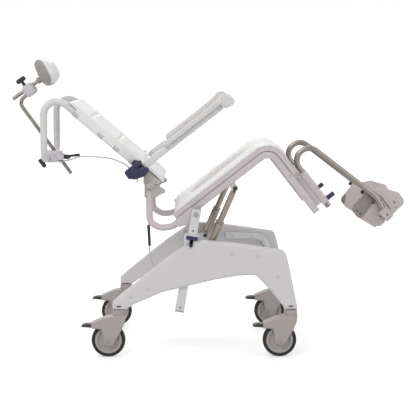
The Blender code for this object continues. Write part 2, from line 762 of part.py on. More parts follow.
def cushion():
    """Moulded foam seat: a crowned pad over the knee, with drawn-in rims and the commode opening."""
    low_w, low_u = SEAT_TOP - PAD_T, LEG_FRONT - PAD_T
    corners = [(SEAT_REAR, SEAT_TOP), (LEG_FRONT, SEAT_TOP), (LEG_FRONT, PAD_END)]
    top = fillet(corners, [0, KNEE_R, 0], closed=False)
    corners = [(SEAT_REAR, low_w), (low_u, low_w), (low_u, PAD_END)]
    base_line = fillet(corners, [0, KNEE_R - PAD_T, 0], closed=False)
    straight = 8
    first = [(SEAT_REAR + (top[1][0] - SEAT_REAR) * k / straight, SEAT_TOP) for k in range(straight)]
    first_low = [(SEAT_REAR + (base_line[1][0] - SEAT_REAR) * k / straight, low_w) for k in range(straight)]
    drop_up, drop_low = top[-2][1], base_line[-2][1]
    down, down_low = [], []
    for k in range(1, 5):
        down.append((LEG_FRONT - LEG_DRAW - LEG_TAPER * k, drop_up + (PAD_END - drop_up) * k / 4))
        down_low.append((low_u, drop_low + (PAD_END - drop_low) * k / 4))
    upper = first + top[1:-1] + down
    lower = first_low + base_line[1:-1] + down_low
    shares = (-1.0, -0.985, -0.93, -0.8, -0.5, 0.0, 0.5, 0.8, 0.93, 0.985, 1.0)
    rims = (0.55, 0.28, 0.06, 0.0, -0.10, -0.14, -0.10, 0.0, 0.06, 0.28, 0.55)
    bm = bmesh.new()
    above, below = [], []
    count = len(upper)
    for i, (hi, lo) in enumerate(zip(upper, lower)):
        row_up, row_low = [], []
        ends = min(i, count - 1 - i)
        tuck = (0.45, 0.12, 0.02)[ends] if ends < 3 else 0.0
        for share, drop in zip(shares, rims):
            d = min(0.75, max(drop, 0.0) + tuck) + min(drop, 0.0) * 0.25
            u = hi[0] + (lo[0] - hi[0]) * d
            w = hi[1] + (lo[1] - hi[1]) * d
            x, z = seat(u, w)
            row_up.append(bm.verts.new((x, share * CUSHION_HALF, z)))
            x, z = seat(*lo)
            row_low.append(bm.verts.new((x, share * (CUSHION_HALF - 0.003), z)))
        above.append(row_up)
        below.append(row_low)
    wide = len(shares)
    for i in range(count - 1):
        for k in range(wide - 1):
            bm.faces.new((above[i][k], above[i][k + 1], above[i + 1][k + 1], above[i + 1][k]))
            bm.faces.new((below[i][k], below[i + 1][k], below[i + 1][k + 1], below[i][k + 1]))
        for k in (0, wide - 1):
            bm.faces.new((above[i][k], above[i + 1][k], below[i + 1][k], below[i][k]))
    for i in (0, count - 1):
        for k in range(wide - 1):
            bm.faces.new((above[i][k], above[i][k + 1], below[i][k + 1], below[i][k]))
    pad = part("seat_cushion", bm, "soft_white", xyz(TILT_AXIS, 0))
    a = math.radians(TILT_DEG)
    hole = bmesh.new()
    sides_n = 28
    rings = []
    levels = ((low_w - 0.02, 0.0), (SEAT_TOP - 0.006, 0.0), (SEAT_TOP + 0.002, 0.006), (SEAT_TOP + 0.03, 0.02))
    for w, grow in levels:
        ring = []
        for k in range(sides_n):
            t = 2 * math.pi * k / sides_n
            squeeze = 1.0 - 0.16 * math.cos(t)
            u = COMMODE_AT + (COMMODE_LEN / 2 + grow) * math.cos(t)
            x, z = seat(u, w)
            ring.append(hole.verts.new((x, (COMMODE_W / 2 + grow) * math.sin(t) * squeeze, z)))
        rings.append(ring)
    for one, two in zip(rings, rings[1:]):
        for k in range(sides_n):
            j = (k + 1) % sides_n
            hole.faces.new((one[k], one[j], two[j], two[k]))
    hole.faces.new(rings[0][::-1])
    hole.faces.new(rings[-1])
    cut(pad, hole)


# Foot rests


def hanger_line():
    """The hanger tube in the seat's frame: up the socket, over the hook and down to the foot plate."""
    points = [(HANGER_U, LEG_END - HANGER_TAIL), (HANGER_U, HOOK_W)]
    centre = (HANGER_U + HOOK_R, HOOK_W)
    end = HANGER_SPLAY_DEG
    steps = 7
    for k in range(1, steps + 1):
        a = math.radians(180 - (180 - end) * k / steps)
        points.append((centre[0] + HOOK_R * math.cos(a), centre[1] + HOOK_R * math.sin(a)))
    low = fillet([points[-1], HANGER_KNEE, HANGER_FOOT], [0, 0.05, 0], closed=False)
    return points + low[1:]


def foot_axis(s):
    a = math.radians(FOOT_HINGE_DEG)
    return (FOOT_HINGE_AT[0] + s * math.cos(a), FOOT_HINGE_AT[1] + s * math.sin(a))


def foot_rests():
    a = math.radians(TILT_DEG)
    for tag, s in sides():
        y = s * HANGER_Y
        path = [xyz(seat(u, w), y) for u, w in hanger_line()]
        part(f"hanger_{tag}", sweep(path, HANGER_D, 12), "steel", path[0])

        knob_u = HANGER_U + SOCKET_SIDE / 2
        way = Vector((math.cos(a), 0, math.sin(a)))
        face = Vector(xyz(seat(knob_u, FOOT_KNOB_W), y))
        start_at = face + way * TOUCH_GAP
        disc = rod(start_at, start_at + way * 0.008, 0.020, 14, 0.002)
        knob = part(f"foot_knob_{tag}", disc, "navy", tuple(face))
        add(knob, rod(start_at - way * 0.0022, start_at + way * 0.004, 0.0078, 12))
        grip = start_at + way * 0.012
        add(knob, block(tuple(grip), (0.014, 0.009, 0.030), a, 0.003))

        mid = seat(*foot_axis(FOOT_GRIP + 0.020))
        grip_at = seat(HANGER_FOOT[0] + 0.002, HANGER_FOOT[1] + 0.012)
        turn = a + math.radians(FOOT_HINGE_DEG)
        clamp = block(xyz(grip_at, s * (HANGER_Y + 0.001)), (0.034, 0.032, 0.046), turn, 0.003)
        holder = part(f"foot_bracket_{tag}", clamp, "warm_grey", xyz(mid, s * FOOT_Y))
        tongue = seat(*foot_axis(FOOT_GRIP + 0.001))
        add(holder, block(xyz(tongue, s * (FOOT_Y + 0.008)), (0.030, 0.034, 0.020), turn, 0.002))
        line_a, line_b = seat(*foot_axis(0.004)), seat(*foot_axis(0.140))
        add(holder, rod(xyz(line_a, s * FOOT_Y), xyz(line_b, s * FOOT_Y), FOOT_ROD_D, 12))
        low = [Vector(xyz(seat(u, w), y)) for u, w in hanger_line()[-4:]]
        low.append(low[-1] + (low[-1] - low[-2]).normalized() * 0.001)
        cut(holder, sweep(low, HANGER_D + 2 * CLAMP_GAP, 12))

        outline = [
            (0.4610, -0.3830),
            (0.4930, -0.4680),
            (0.6430, -0.4500),
            (0.6440, -0.4150),
            (0.6080, -0.3660),
            (0.5450, -0.3320),
            (0.5050, -0.3390),
        ]
        radii = [0.012, 0.004, 0.004, 0.014, 0.02, 0.03, 0.03]
        y0, y1 = sorted((s * (FOOT_Y - FOOT_T / 2), s * (FOOT_Y + FOOT_T / 2)))
        tread = plate(seat_all(outline), radii, y0, y1, 0.0035)
        board = part(f"foot_plate_{tag}", tread, "foot", xyz(mid, s * FOOT_Y))
        k0, k1 = seat(*foot_axis(0.010)), seat(*foot_axis(0.134))
        add(board, rod(xyz(k0, s * FOOT_Y), xyz(k1, s * FOOT_Y), 0.0185, 12))
        t0, t1 = seat(*foot_axis(0.0)), seat(*foot_axis(0.145))
        cut(board, rod(xyz(t0, s * FOOT_Y), xyz(t1, s * FOOT_Y), FOOT_ROD_D + 2 * RUN_GAP, 12))
        cut(board, block(xyz(tongue, s * (FOOT_Y + 0.004)), (0.0316, 0.040, 0.032), turn))


# Back


def back_line(t, n=0.0):
    return back(t, BACK_OFFSET + n)


def back_frame():
    start_t = 0.545
    corner = (HANDLE_X, (BACK_OFFSET + 0.646 * -HANDLE_X) / 0.763)
    bend = 0.045
    profile = [back_line(start_t), corner, (HANDLE_X, HANDLE_BAR_Z + bend)]
    profile = fillet(profile, [0, HANDLE_BEND_R, 0], closed=False)
    near = [(x, -BACK_Y, z) for x, z in profile]
    for k in range(1, 4):
        a = math.radians(90 * k / 4)
        near.append((HANDLE_X, -BACK_Y + bend * (1 - math.cos(a)), HANDLE_BAR_Z + bend * (1 - math.sin(a))))
    near.append((HANDLE_X, -BACK_Y + bend, HANDLE_BAR_Z))
    path = near + [(x, -y, z) for x, y, z in reversed(near)]
    frame = part("back_frame", sweep(path, BACK_TUBE_D, 10), "white", xyz(RECLINE_AXIS, 0))
    for t in (0.60, 0.88):
        x, z = back_line(t, -0.001)
        add(frame, rod((x, -BACK_Y, z), (x, BACK_Y, z), 0.016, 8))
    ear = [
        (RECLINE_AXIS[0] - 0.010, RECLINE_AXIS[1] - 0.014),
        (RECLINE_AXIS[0] + 0.014, RECLINE_AXIS[1] - 0.012),
        back_line(start_t + 0.006, -0.008),
        back_line(start_t + 0.006, 0.008),
        back_line(start_t + 0.075, 0.008),
        (RECLINE_AXIS[0] - 0.020, RECLINE_AXIS[1] + 0.010),
    ]
    y_in = BACK_Y + RAIL_W / 2 - 0.0015
    for tag, s in sides():
        y0, y1 = sorted((s * (y_in - 0.0030), s * (y_in + 0.0055)))
        add(frame, plate(ear, 0.008, y0, y1))
        cut(frame, pin(*RECLINE_AXIS, y0 - 0.01, y1 + 0.01, RECLINE_PIN_D + 2 * RUN_GAP, 16))
        outline = [
            (RECLINE_AXIS[0] - 0.014, RECLINE_AXIS[1] + 0.014),
            (RECLINE_AXIS[0] + 0.010, RECLINE_AXIS[1] + 0.010),
            (-0.149, 0.617),
            (-0.146, 0.606),
            (-0.167, 0.597),
            (-0.181, 0.587),
            (-0.2235, 0.587),
            (-0.2225, 0.630),
        ]
        radii = [0.0135, 0.01, 0, 0, 0.01, 0, 0.004, 0]
        z0, z1 = sorted((s * (BACK_Y - 0.0165), s * (y_in - 0.0033 - TOUCH_GAP)))
        mount = part(f"recline_bracket_{tag}", plate(outline, radii, z0, z1, 0.002), "warm_grey")
        inside = sorted((s * (BACK_Y - 0.004), s * (y_in + 0.008)))
        below, beyond = back_line(start_t - 0.010), back_line(start_t + 0.080)
        cut(mount, rod(xyz(below, s * BACK_Y), xyz(beyond, s * BACK_Y), BACK_TUBE_D + 4 * CLAMP_GAP, 16))
        add(mount, pin(*RECLINE_AXIS, *inside, RECLINE_PIN_D, 16))
        loop_top = [(-0.20556, s * RAIL_Y, 0.560), (-0.20651, s * RAIL_Y, LOOP_TOP + CLAMP_GAP)]
        cut(mount, rod(*loop_top, LOOP_D + 2 * CLAMP_GAP, 16))


def back_pad():
    """Padded sling: crowned in front, with three pressed channels and rolled rims over the tubes."""
    t0, t1 = BACK_PAD
    rows, columns = 15, 11
    rear_n = BACK_OFFSET + BACK_TUBE_D / 2 + TOUCH_GAP
    bm = bmesh.new()
    above, below = [], []
    for i in range(rows):
        f = i / (rows - 1)
        t = t0 + (t1 - t0) * f
        row_up, row_low = [], []
        end = min(f, 1 - f)
        round_end = min(1.0, end / 0.055)
        channel = 0.0022 if i in (3, 7, 11) else 0.0
        for k in range(columns):
            g = -1 + 2 * k / (columns - 1)
            y = BACK_PAD_HALF * math.copysign(abs(g) ** 0.8, g)
            edge = 1 - abs(y) / BACK_PAD_HALF
            lift = min(1.0, edge / 0.05)
            crown = BACK_PAD_CROWN * (1 - g * g)
            full = BACK_PAD_T * (0.32 + 0.68 * math.sqrt(lift)) * (0.45 + 0.55 * math.sqrt(round_end))
            thick = full - channel + crown
            x, z = back(t, rear_n - TOUCH_GAP + thick)
            row_up.append(bm.verts.new((x, y, z)))
            x, z = back(t, rear_n)
            row_low.append(bm.verts.new((x, y * 0.985, z)))
        above.append(row_up)
        below.append(row_low)
    for i in range(rows - 1):
        for k in range(columns - 1):
            bm.faces.new((above[i][k], above[i][k + 1], above[i + 1][k + 1], above[i + 1][k]))
            bm.faces.new((below[i][k], below[i + 1][k], below[i + 1][k + 1], below[i][k + 1]))
        for k in (0, columns - 1):
            bm.faces.new((above[i][k], above[i + 1][k], below[i + 1][k], below[i][k]))
    for i in (0, rows - 1):
        for k in range(columns - 1):
            bm.faces.new((above[i][k], above[i][k + 1], below[i][k + 1], below[i][k]))
    part("back_pad", bm, "soft_white", xyz(RECLINE_AXIS, 0))


# Arms


def arms():
    pu, pw = ARM_PIVOT
    for tag, s in sides():
        y = s * ARM_Y
        pivot = xyz(seat(pu, pw), y)
        low, high = pw - ARM_BAR_T / 2, pw + ARM_BAR_T / 2
        bar = [(pu - 0.011, low), (0.318, low), (0.318, high), (pu - 0.011, high)]
        y0, y1 = sorted((y - ARM_BAR_W / 2, y + ARM_BAR_W / 2))
        arm = part(f"arm_{tag}", plate(seat_all(bar), 0.0085, y0, y1, 0.004), "white", pivot)
        cut(arm, pin(pivot[0], pivot[2], y0 - 0.01, y1 + 0.01, ARM_PIN_D + 2 * RUN_GAP, 14))

        pad = [
            (0.062, high + TOUCH_GAP),
            (0.3215, high + TOUCH_GAP),
            (0.3215, low - 0.004),
            (0.350, low - 0.010),
            (0.366, low - 0.004),
            (0.362, high + 0.012),
            (0.344, high + 0.026),
            (0.312, high + 0.020),
            (0.250, high + 0.0175),
            (0.062, high + 0.0175),
        ]
        radii = [0.003, 0.0015, 0.003, 0.01, 0.012, 0.02, 0.018, 0.05, 0.1, 0.008]
        p0, p1 = sorted((y - ARM_PAD_W / 2, y + ARM_PAD_W / 2))
        part(f"arm_pad_{tag}", plate(seat_all(pad), radii, p0, p1, 0.005), "soft_white", pivot)

        tube_out = BACK_Y + BACK_TUBE_D / 2 + TOUCH_GAP
        arm_in = ARM_Y - ARM_BAR_W / 2 - 0.0008
        arm_out = ARM_Y + ARM_BAR_W / 2 + 0.0008
        body = [(-0.292, 0.684), (-0.274, 0.712), (-0.240, 0.727), (-0.207, 0.712)]
        body += [(-0.204, 0.690), (-0.218, 0.670), (-0.245, 0.656), (-0.276, 0.657)]
        inner_y = sorted((s * (tube_out + 0.0068), s * arm_in))
        lock = part(f"arm_lock_{tag}", prism(body, *inner_y), "navy", pivot)
        outer_y = sorted((s * arm_out, s * (arm_out + 0.006)))
        add(lock, plate(body, 0.0, *outer_y, 0.0012))
        tail = [(-0.293, 0.683), (-0.278, 0.704), (-0.252, 0.690), (-0.247, 0.656), (-0.276, 0.655)]
        whole = sorted((s * (tube_out + 0.009), s * (arm_out + 0.004)))
        add(lock, prism(tail, *whole))
        notch = [(-0.249, 0.728), (-0.262, 0.702), (-0.246, 0.690), (-0.226, 0.697), (-0.228, 0.735)]
        cheek = sorted((s * (arm_out - 0.002), s * (arm_out + 0.01)))
        cut(lock, prism(notch, *cheek))
        across = sorted((s * (arm_in - 0.003), s * (arm_out + 0.003)))
        add(lock, pin(pivot[0], pivot[2], *across, ARM_PIN_D, 14))
        shoe = [back_line(0.628, -0.008), back_line(0.628, 0.010)]
        shoe += [back_line(0.668, 0.010), back_line(0.668, -0.008)]
        touch = sorted((s * (tube_out + 0.0005), s * (tube_out + 0.0085)))
        add(lock, prism(shoe, *touch))


# Head rest


def head_rest():
    low, bend, tip = Vector(ROD_LOW), Vector(ROD_BEND), Vector(ROD_TOP)
    route = fillet([ROD_LOW, ROD_BEND, ROD_TOP], [0, 0.042, 0], closed=False)
    part("head_rod", sweep([(x, 0, z) for x, z in route], ROD_D, 12), "steel", (low.x, 0, low.y))
    way = (bend - low).normalized()
    at = low + way * ((HANDLE_BAR_Z - low.y) / way.y)
    body = block(((HANDLE_X + at.x) / 2 - 0.002, 0, HANDLE_BAR_Z), (0.062, 0.046, 0.040), 0.0, 0.005)
    clamp = part("head_clamp", body, "warm_grey")
    bore = BACK_TUBE_D + 2 * CLAMP_GAP
    cut(clamp, rod((HANDLE_X, -0.05, HANDLE_BAR_Z), (HANDLE_X, 0.05, HANDLE_BAR_Z), bore, 16))
    a = at - way * 0.06
    b = at + way * 0.06
    cut(clamp, rod((a.x, 0, a.y), (b.x, 0, b.y), ROD_D + 2 * RUN_GAP, 14))

    corner = Vector((HANDLE_X - 0.0195, 0, HANDLE_BAR_Z - 0.0190))
    out = Vector((-0.80, 0, -0.60))
    cut(clamp, rod(corner - out * 0.009, corner + out * 0.01, 0.011 + 2 * CLAMP_GAP, 14))
    knob = part("clamp_knob", rod(corner - out * 0.008, corner + out * 0.012, 0.011, 14), "black", tuple(corner))
    turn = math.atan2(out.z, out.x)
    add(knob, block(tuple(corner + out * 0.017), (0.016, 0.014, 0.038), turn, 0.004))

    head = Vector(PAD_ROD_HEAD)
    tail = Vector(PAD_ROD_TAIL)
    arm = (head - tail).normalized()
    lean = math.atan2(arm.y, arm.x)
    cross = Vector((-arm.y, arm.x))
    centre = tail + arm * 0.073 - cross * 0.008
    high = 0.046
    joint = block((centre.x, 0, centre.y), (0.048, 0.040, high), lean, 0.008)
    top_clamp = part("head_joint", joint, "grey", (tip.x, 0, tip.y))
    cut(top_clamp, rod((tail.x, 0, tail.y), (head.x, 0, head.y), ROD_D + 2 * RUN_GAP, 14))
    past = tip + (tip - Vector(route[-2])).normalized() * 0.0012
    sweep_path = [(x, 0, z) for x, z in route[-4:-1]] + [(past.x, 0, past.y)]
    cut(top_clamp, sweep(sweep_path, ROD_D + 2 * CLAMP_GAP, 14))
    mount = centre + cross * high / 2 - arm * 0.006
    up = Vector((cross.x, 0, cross.y))
    base_at = Vector((mount.x, 0, mount.y)) + up * CLAMP_GAP
    wing_knob = part("joint_knob", rod(base_at, base_at + up * 0.020, 0.012, 14), "black", tuple(base_at))
    add(wing_knob, block(tuple(base_at + up * 0.025), (0.038, 0.014, 0.017), lean, 0.004))

    pad_c = Vector(HEAD_PAD)
    bar = rod((tail.x, 0, tail.y), (head.x, 0, head.y), ROD_D, 14, 0.002)
    part("pad_rod", bar, "steel", (head.x, 0, head.y))
    shell(pad_c)


def shell(centre):
    """Curved head pad: a stiff shell behind, foam in front. Both follow one arc across the head."""
    face = Vector(HEAD_FACE)
    tall = Vector((-face.y, face.x))
    ball = Vector(PAD_ROD_HEAD)

    def curved(name, look, n0, n1, rim, height, width, plump, dome):
        bm = bmesh.new()
        rows, cols = 6, 8
        front, rear = [], []
        for i in range(rows):
            f = -1 + 2 * i / (rows - 1)
            a, b = [], []
            for k in range(cols):
                g = -1 + 2 * k / (cols - 1)
                round_off = math.sqrt(1 - 0.45 * g ** 4)
                y = g * width / 2
                v = f * height / 2 * round_off
                wrap = 0.024 * g * g
                edge = max(abs(f), abs(g)) ** 6
                fat = plump * (1 - f * f) * (1 - g * g)
                deep = dome * math.sqrt((1 - f ** 4) * (1 - g ** 4))
                for n, into, bulge in ((n1 + fat, a, -rim), (n0 - deep, b, 0.0)):
                    d = n + wrap + bulge * edge
                    p = centre + face * d + tall * v
                    into.append(bm.verts.new((p.x, y, p.y)))
            front.append(a)
            rear.append(b)
        for i in range(rows - 1):
            for k in range(cols - 1):
                bm.faces.new((front[i][k], front[i][k + 1], front[i + 1][k + 1], front[i + 1][k]))
                bm.faces.new((rear[i][k], rear[i + 1][k], rear[i + 1][k + 1], rear[i][k + 1]))
            for k in (0, cols - 1):
                bm.faces.new((front[i][k], front[i + 1][k], rear[i + 1][k], rear[i][k]))
        for i in (0, rows - 1):
            for k in range(cols - 1):
                bm.faces.new((front[i][k], front[i][k + 1], rear[i][k + 1], rear[i][k]))
        return part(name, bm, look, (ball.x, 0, ball.y))

    back_shell = curved("head_shell", "grey", -0.004, 0.0, 0.0, HEAD_PAD_H, HEAD_PAD_W, 0.0, 0.020)
    socket = Vector(PAD_ROD_HEAD)
    near = socket - face * 0.010
    far = socket + face * ((centre - socket).dot(face) - 0.003)
    add(back_shell, rod((near.x, 0, near.y), (far.x, 0, far.y), 0.024, 14))
    arm = (Vector(PAD_ROD_HEAD) - Vector(PAD_ROD_TAIL)).normalized()
    t0 = socket - arm * 0.02
    t1 = socket + arm * TOUCH_GAP
    cut(back_shell, rod((t0.x, 0, t0.y), (t1.x, 0, t1.y), ROD_D + 2 * CLAMP_GAP, 14))
    curved("head_foam", "soft_white", TOUCH_GAP, 0.024, 0.012, HEAD_PAD_H - 0.004, HEAD_PAD_W - 0.004, 0.006, 0.0)


# Tilt release


def release():
    y = LEVER_Y
    body = block((HANDLE_X + 0.012, y, HANDLE_BAR_Z + 0.001), (0.056, 0.034, 0.036), 0.0, 0.006)
    housing = part("lever_mount", body, "warm_grey")
    bore = BACK_TUBE_D + 2 * CLAMP_GAP
    cut(housing, rod((HANDLE_X, y - 0.03, HANDLE_BAR_Z), (HANDLE_X, y + 0.03, HANDLE_BAR_Z), bore, 16))
    pivot = (HANDLE_X + 0.050, HANDLE_BAR_Z + 0.005)
    px, pz = pivot
    for side in (-1, 1):
        y0, y1 = sorted((y + side * 0.0095, y + side * 0.0155))
        cheek = [(px - 0.020, pz - 0.014), (px + 0.012, pz - 0.011)]
        cheek += [(px + 0.012, pz + 0.011), (px - 0.020, pz + 0.015)]
        cheek = fillet(cheek, 0.006)
        add(housing, prism(cheek, y0, y1))
    add(housing, pin(*pivot, y - 0.012, y + 0.012, 0.007, 14))
    blade = [(px - 0.008, pz - 0.008), (px + 0.030, pz - 0.010), (px + 0.040, pz - 0.001)]
    blade += [(px + 0.070, pz + 0.001), (px + 0.074, pz + 0.008), (px + 0.066, pz + 0.011)]
    blade += [(px + 0.034, pz + 0.006), (px - 0.004, pz + 0.009)]
    lever = part("release_lever", plate(blade, 0.004, y - 0.0088, y + 0.0088, 0.0015), "black", xyz(pivot, y))
    cut(lever, pin(*pivot, y - 0.02, y + 0.02, 0.007 + 2 * RUN_GAP, 14))

    front = HANDLE_X + 0.040
    knots = [
        Vector((front + TOUCH_GAP, y, 0.7108)),
        Vector((-0.515, y - 0.003, 0.7150)),
        Vector((-0.455, -0.125, 0.7320)),
        Vector((-0.371, -0.152, 0.7290)),
        Vector((-0.334, -0.160, 0.7220)),
        Vector((-0.297, -0.170, 0.7060)),
        Vector((-0.266, -0.175, 0.6780)),
        Vector((-0.248, -0.176, 0.6400)),
    ]
    part("cable_upper", sweep(curve_through(knots), CABLE_D, 6), "soft_white", xyz(RECLINE_AXIS, 0))
    knots = [
        Vector((-0.2100, CLAMP_GAP - BACK_Y + 0.0165, 0.603)),
        Vector((-0.2102, -0.1850, 0.603)),
        Vector((-0.2115, -0.1800, 0.601)),
        Vector((-0.2140, -0.1760, 0.594)),
        Vector((-0.2165, -0.172, 0.570)),
        Vector((-0.2150, -0.168, 0.530)),
        Vector((-0.2105, -0.160, 0.480)),
        Vector((-0.2075, -0.152, 0.430)),
        Vector((-0.2060, -0.150, 0.372)),
        Vector((-0.1940, -0.150, 0.330)),
        Vector((-0.1680, -0.150, 0.313)),
        Vector((-0.1420, -0.150, 0.324)),
    ]
    lower = part("cable_lower", sweep(curve_through(knots), CABLE_D, 6), "soft_white", xyz(TILT_AXIS, 0))
    add(lower, rod((-0.2104, -0.1594, 0.478), (-0.2067, -0.1505, 0.398), 0.011, 12))


def curve_through(knots):
    """Points of a smooth curve through the knots."""
    made = []
    for i in range(len(knots) - 1):
        p0 = knots[max(i - 1, 0)]
        p1, p2 = knots[i], knots[i + 1]
        p3 = knots[min(i + 2, len(knots) - 1)]
        for k in range(2):
            t = k / 2
            point = 0.5 * (
                2 * p1
                + (p2 - p0) * t
                + (2 * p0 - 5 * p1 + 4 * p2 - p3) * t * t
                + (3 * p1 - p0 - 3 * p2 + p3) * t ** 3
            )
            made.append(point)
    made.append(knots[-1])
    return made


def main():
    start()
    base()
    for tag, x, y in (
        ("RR", -STEM_X, -STEM_Y),
        ("RL", -STEM_X, STEM_Y),
        ("FR", STEM_X, -STEM_Y),
        ("FL", STEM_X, STEM_Y),
    ):
        caster(tag, x, y)
    carriage()
    struts()
    seat_frame()
    cushion()
    foot_rests()
    back_frame()
    back_pad()
    arms()
    head_rest()
    release()
    for piece in PARTS.values():
        piece.location.x += X_SHIFT
        for polygon in piece.data.polygons:
            polygon.use_smooth = True


main()
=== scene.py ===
import json
import math

import bmesh
import bpy
import numpy as np
from mathutils import Matrix, Vector

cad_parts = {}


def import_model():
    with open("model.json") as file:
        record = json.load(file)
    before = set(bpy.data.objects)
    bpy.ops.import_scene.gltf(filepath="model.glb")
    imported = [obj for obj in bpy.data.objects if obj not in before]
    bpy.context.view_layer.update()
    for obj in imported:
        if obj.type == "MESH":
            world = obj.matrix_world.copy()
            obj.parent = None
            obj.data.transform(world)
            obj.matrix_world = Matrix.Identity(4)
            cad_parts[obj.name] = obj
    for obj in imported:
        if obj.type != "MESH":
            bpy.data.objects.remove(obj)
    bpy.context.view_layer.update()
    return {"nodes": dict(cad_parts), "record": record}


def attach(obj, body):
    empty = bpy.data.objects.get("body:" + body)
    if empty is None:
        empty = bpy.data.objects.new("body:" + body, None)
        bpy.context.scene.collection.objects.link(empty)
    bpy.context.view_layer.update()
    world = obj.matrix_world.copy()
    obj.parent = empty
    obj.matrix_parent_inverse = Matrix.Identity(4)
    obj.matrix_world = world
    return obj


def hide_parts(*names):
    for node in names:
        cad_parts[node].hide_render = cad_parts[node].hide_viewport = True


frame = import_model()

NODES = frame["nodes"]
X_SHIFT = -0.002

# The same values that the frame's own design is built on
TILT_AXIS = (-0.034, 0.530)
TILT_DEG = 38.0
COLUMN_FOOT = (-0.0945, 0.170)
COLUMN_LEN = math.dist(COLUMN_FOOT, TILT_AXIS) + 0.021
COLUMN_LEAN = math.atan2(TILT_AXIS[0] - COLUMN_FOOT[0], TILT_AXIS[1] - COLUMN_FOOT[1])
CLIP_AT = 0.2785
PANEL_OUT = 0.269
PANEL_IN = 0.231
STEM_X = 0.3165
TRAIL = 0.040
BACK_OFFSET = 0.3785
BACK_Y = 0.205
BACK_RUN = 0.763
BACK_RISE = 0.646
HANDLE_X = -0.590
BAR_Z = 0.725
SEAT_TOP = 0.056
PAD_T = 0.0257
LEG_FRONT = 0.3945
LEG_END = -0.272
KNEE_R = 0.078
SEAT_REAR = -0.074
PAD_END = -0.112
CUSHION_HALF = 0.223
OPENING_U = 0.150
OPENING_LONG = 0.135
OPENING_WIDE = 0.1025
RAIL_T = 0.027
BAR_W = SEAT_TOP - PAD_T - RAIL_T / 2
HOOK_U = 0.4035
HANGER_Y = 0.165
STRUT_Y = 0.205
STRUT_FOOT = (0.0075, 0.385)
STRUT_HEAD = (0.170, -0.016)
ARM_W = 0.2525
ARM_Y = 0.250
RECLINE_AXIS = (-0.207, 0.6346)
FOOT_HINGE_AT = (0.501, -0.4685)
FOOT_HINGE_DEG = 6.9
FOOT_Y = 0.140
CABLE_R = 0.00272
ROD_R = 0.007
HEAD_CENTRE = Vector((-0.609, 1.042))
HEAD_FACE = Vector((0.894, 0.447)).normalized()
HEAD_TALL = Vector((-HEAD_FACE.y, HEAD_FACE.x))
HEAD_HALF = 0.115
HEAD_WRAP = 0.024

# Cover plugs on the outer faces of the side panels, as (x, z) before the shift
PLUGS = ((0.098, 0.386), (0.191, 0.377), (0.267, 0.301), (-0.209, 0.256), (-0.272, 0.227))
WHEELS = ("RR", "RL", "FR", "FL")
WHITE = (1.0, 1.0, 1.0, 1.0)
SIDES = (("R", -1.0), ("L", 1.0))


def seat(u, w):
    """World (x, z) of a place on the seat: u runs forward along it and w up from it, from the tilt axis."""
    a = math.radians(TILT_DEG)
    return (
        TILT_AXIS[0] + X_SHIFT + u * math.cos(a) - w * math.sin(a),
        TILT_AXIS[1] + u * math.sin(a) + w * math.cos(a),
    )


def column(s, across=0.0):
    """World (x, z) of a place on the leaning column: s runs up it from its foot."""
    a = COLUMN_LEAN
    return (
        COLUMN_FOOT[0] + X_SHIFT + s * math.sin(a) + across * math.cos(a),
        COLUMN_FOOT[1] + s * math.cos(a) - across * math.sin(a),
    )


def back(t, n=0.0):
    """World (x, z) of a place on the back: t runs up it and n out of its front."""
    n = BACK_OFFSET + n
    return (-BACK_RUN * t + BACK_RISE * n + X_SHIFT, BACK_RISE * t + BACK_RUN * n)


def at(pair, y):
    """A world point from (x, z) and the distance y across the chair."""
    return Vector((pair[0], y, pair[1]))


def seat_at(u, w, y):
    return at(seat(u, w), y)


def back_at(t, n, y):
    return at(back(t, n), y)


def clamp(value, low=0.0):
    return max(low, min(1.0, value))


def quarter(x):
    """Height of a quarter circle of radius 1 at x from its foot, and 1 beyond it."""
    return math.sqrt(max(0.0, 1 - max(0.0, 1 - x) ** 2))


SEAT_U = Vector((math.cos(math.radians(TILT_DEG)), 0, math.sin(math.radians(TILT_DEG))))
SEAT_W = Vector((-SEAT_U.z, 0, SEAT_U.x))
BACK_T = Vector((-BACK_RUN, 0, BACK_RISE)).normalized()
BACK_N = Vector((BACK_RISE, 0, BACK_RUN)).normalized()
ACROSS = Vector((0, 1, 0))
UP = Vector((0, 0, 1))
SEAT_AXES = (SEAT_U, ACROSS, SEAT_U.cross(ACROSS))
COLUMN_AXES = (
    Vector((math.cos(COLUMN_LEAN), 0, -math.sin(COLUMN_LEAN))),
    ACROSS,
    Vector((math.sin(COLUMN_LEAN), 0, math.cos(COLUMN_LEAN))),
)


# Materials


def nodes_of(name):
    made = bpy.data.materials.new(name)
    made.use_nodes = True
    tree = made.node_tree
    return made, tree, tree.nodes["Principled BSDF"]


def add_node(tree, kind, **values):
    made = tree.nodes.new(kind)
    for key, value in values.items():
        if key in made.inputs:
            made.inputs[key].default_value = value
        else:
            setattr(made, key, value)
    return made


def ranged(tree, source, low, high, start=0.0, end=1.0):
    """A value that goes from low to high while source goes from start to end."""
    made = add_node(tree, "ShaderNodeMapRange")
    limits = (("From Min", start), ("From Max", end), ("To Min", low), ("To Max", high))
    for key, value in limits:
        made.inputs[key].default_value = value
    tree.links.new(source, made.inputs["Value"])
    return made.outputs["Result"]


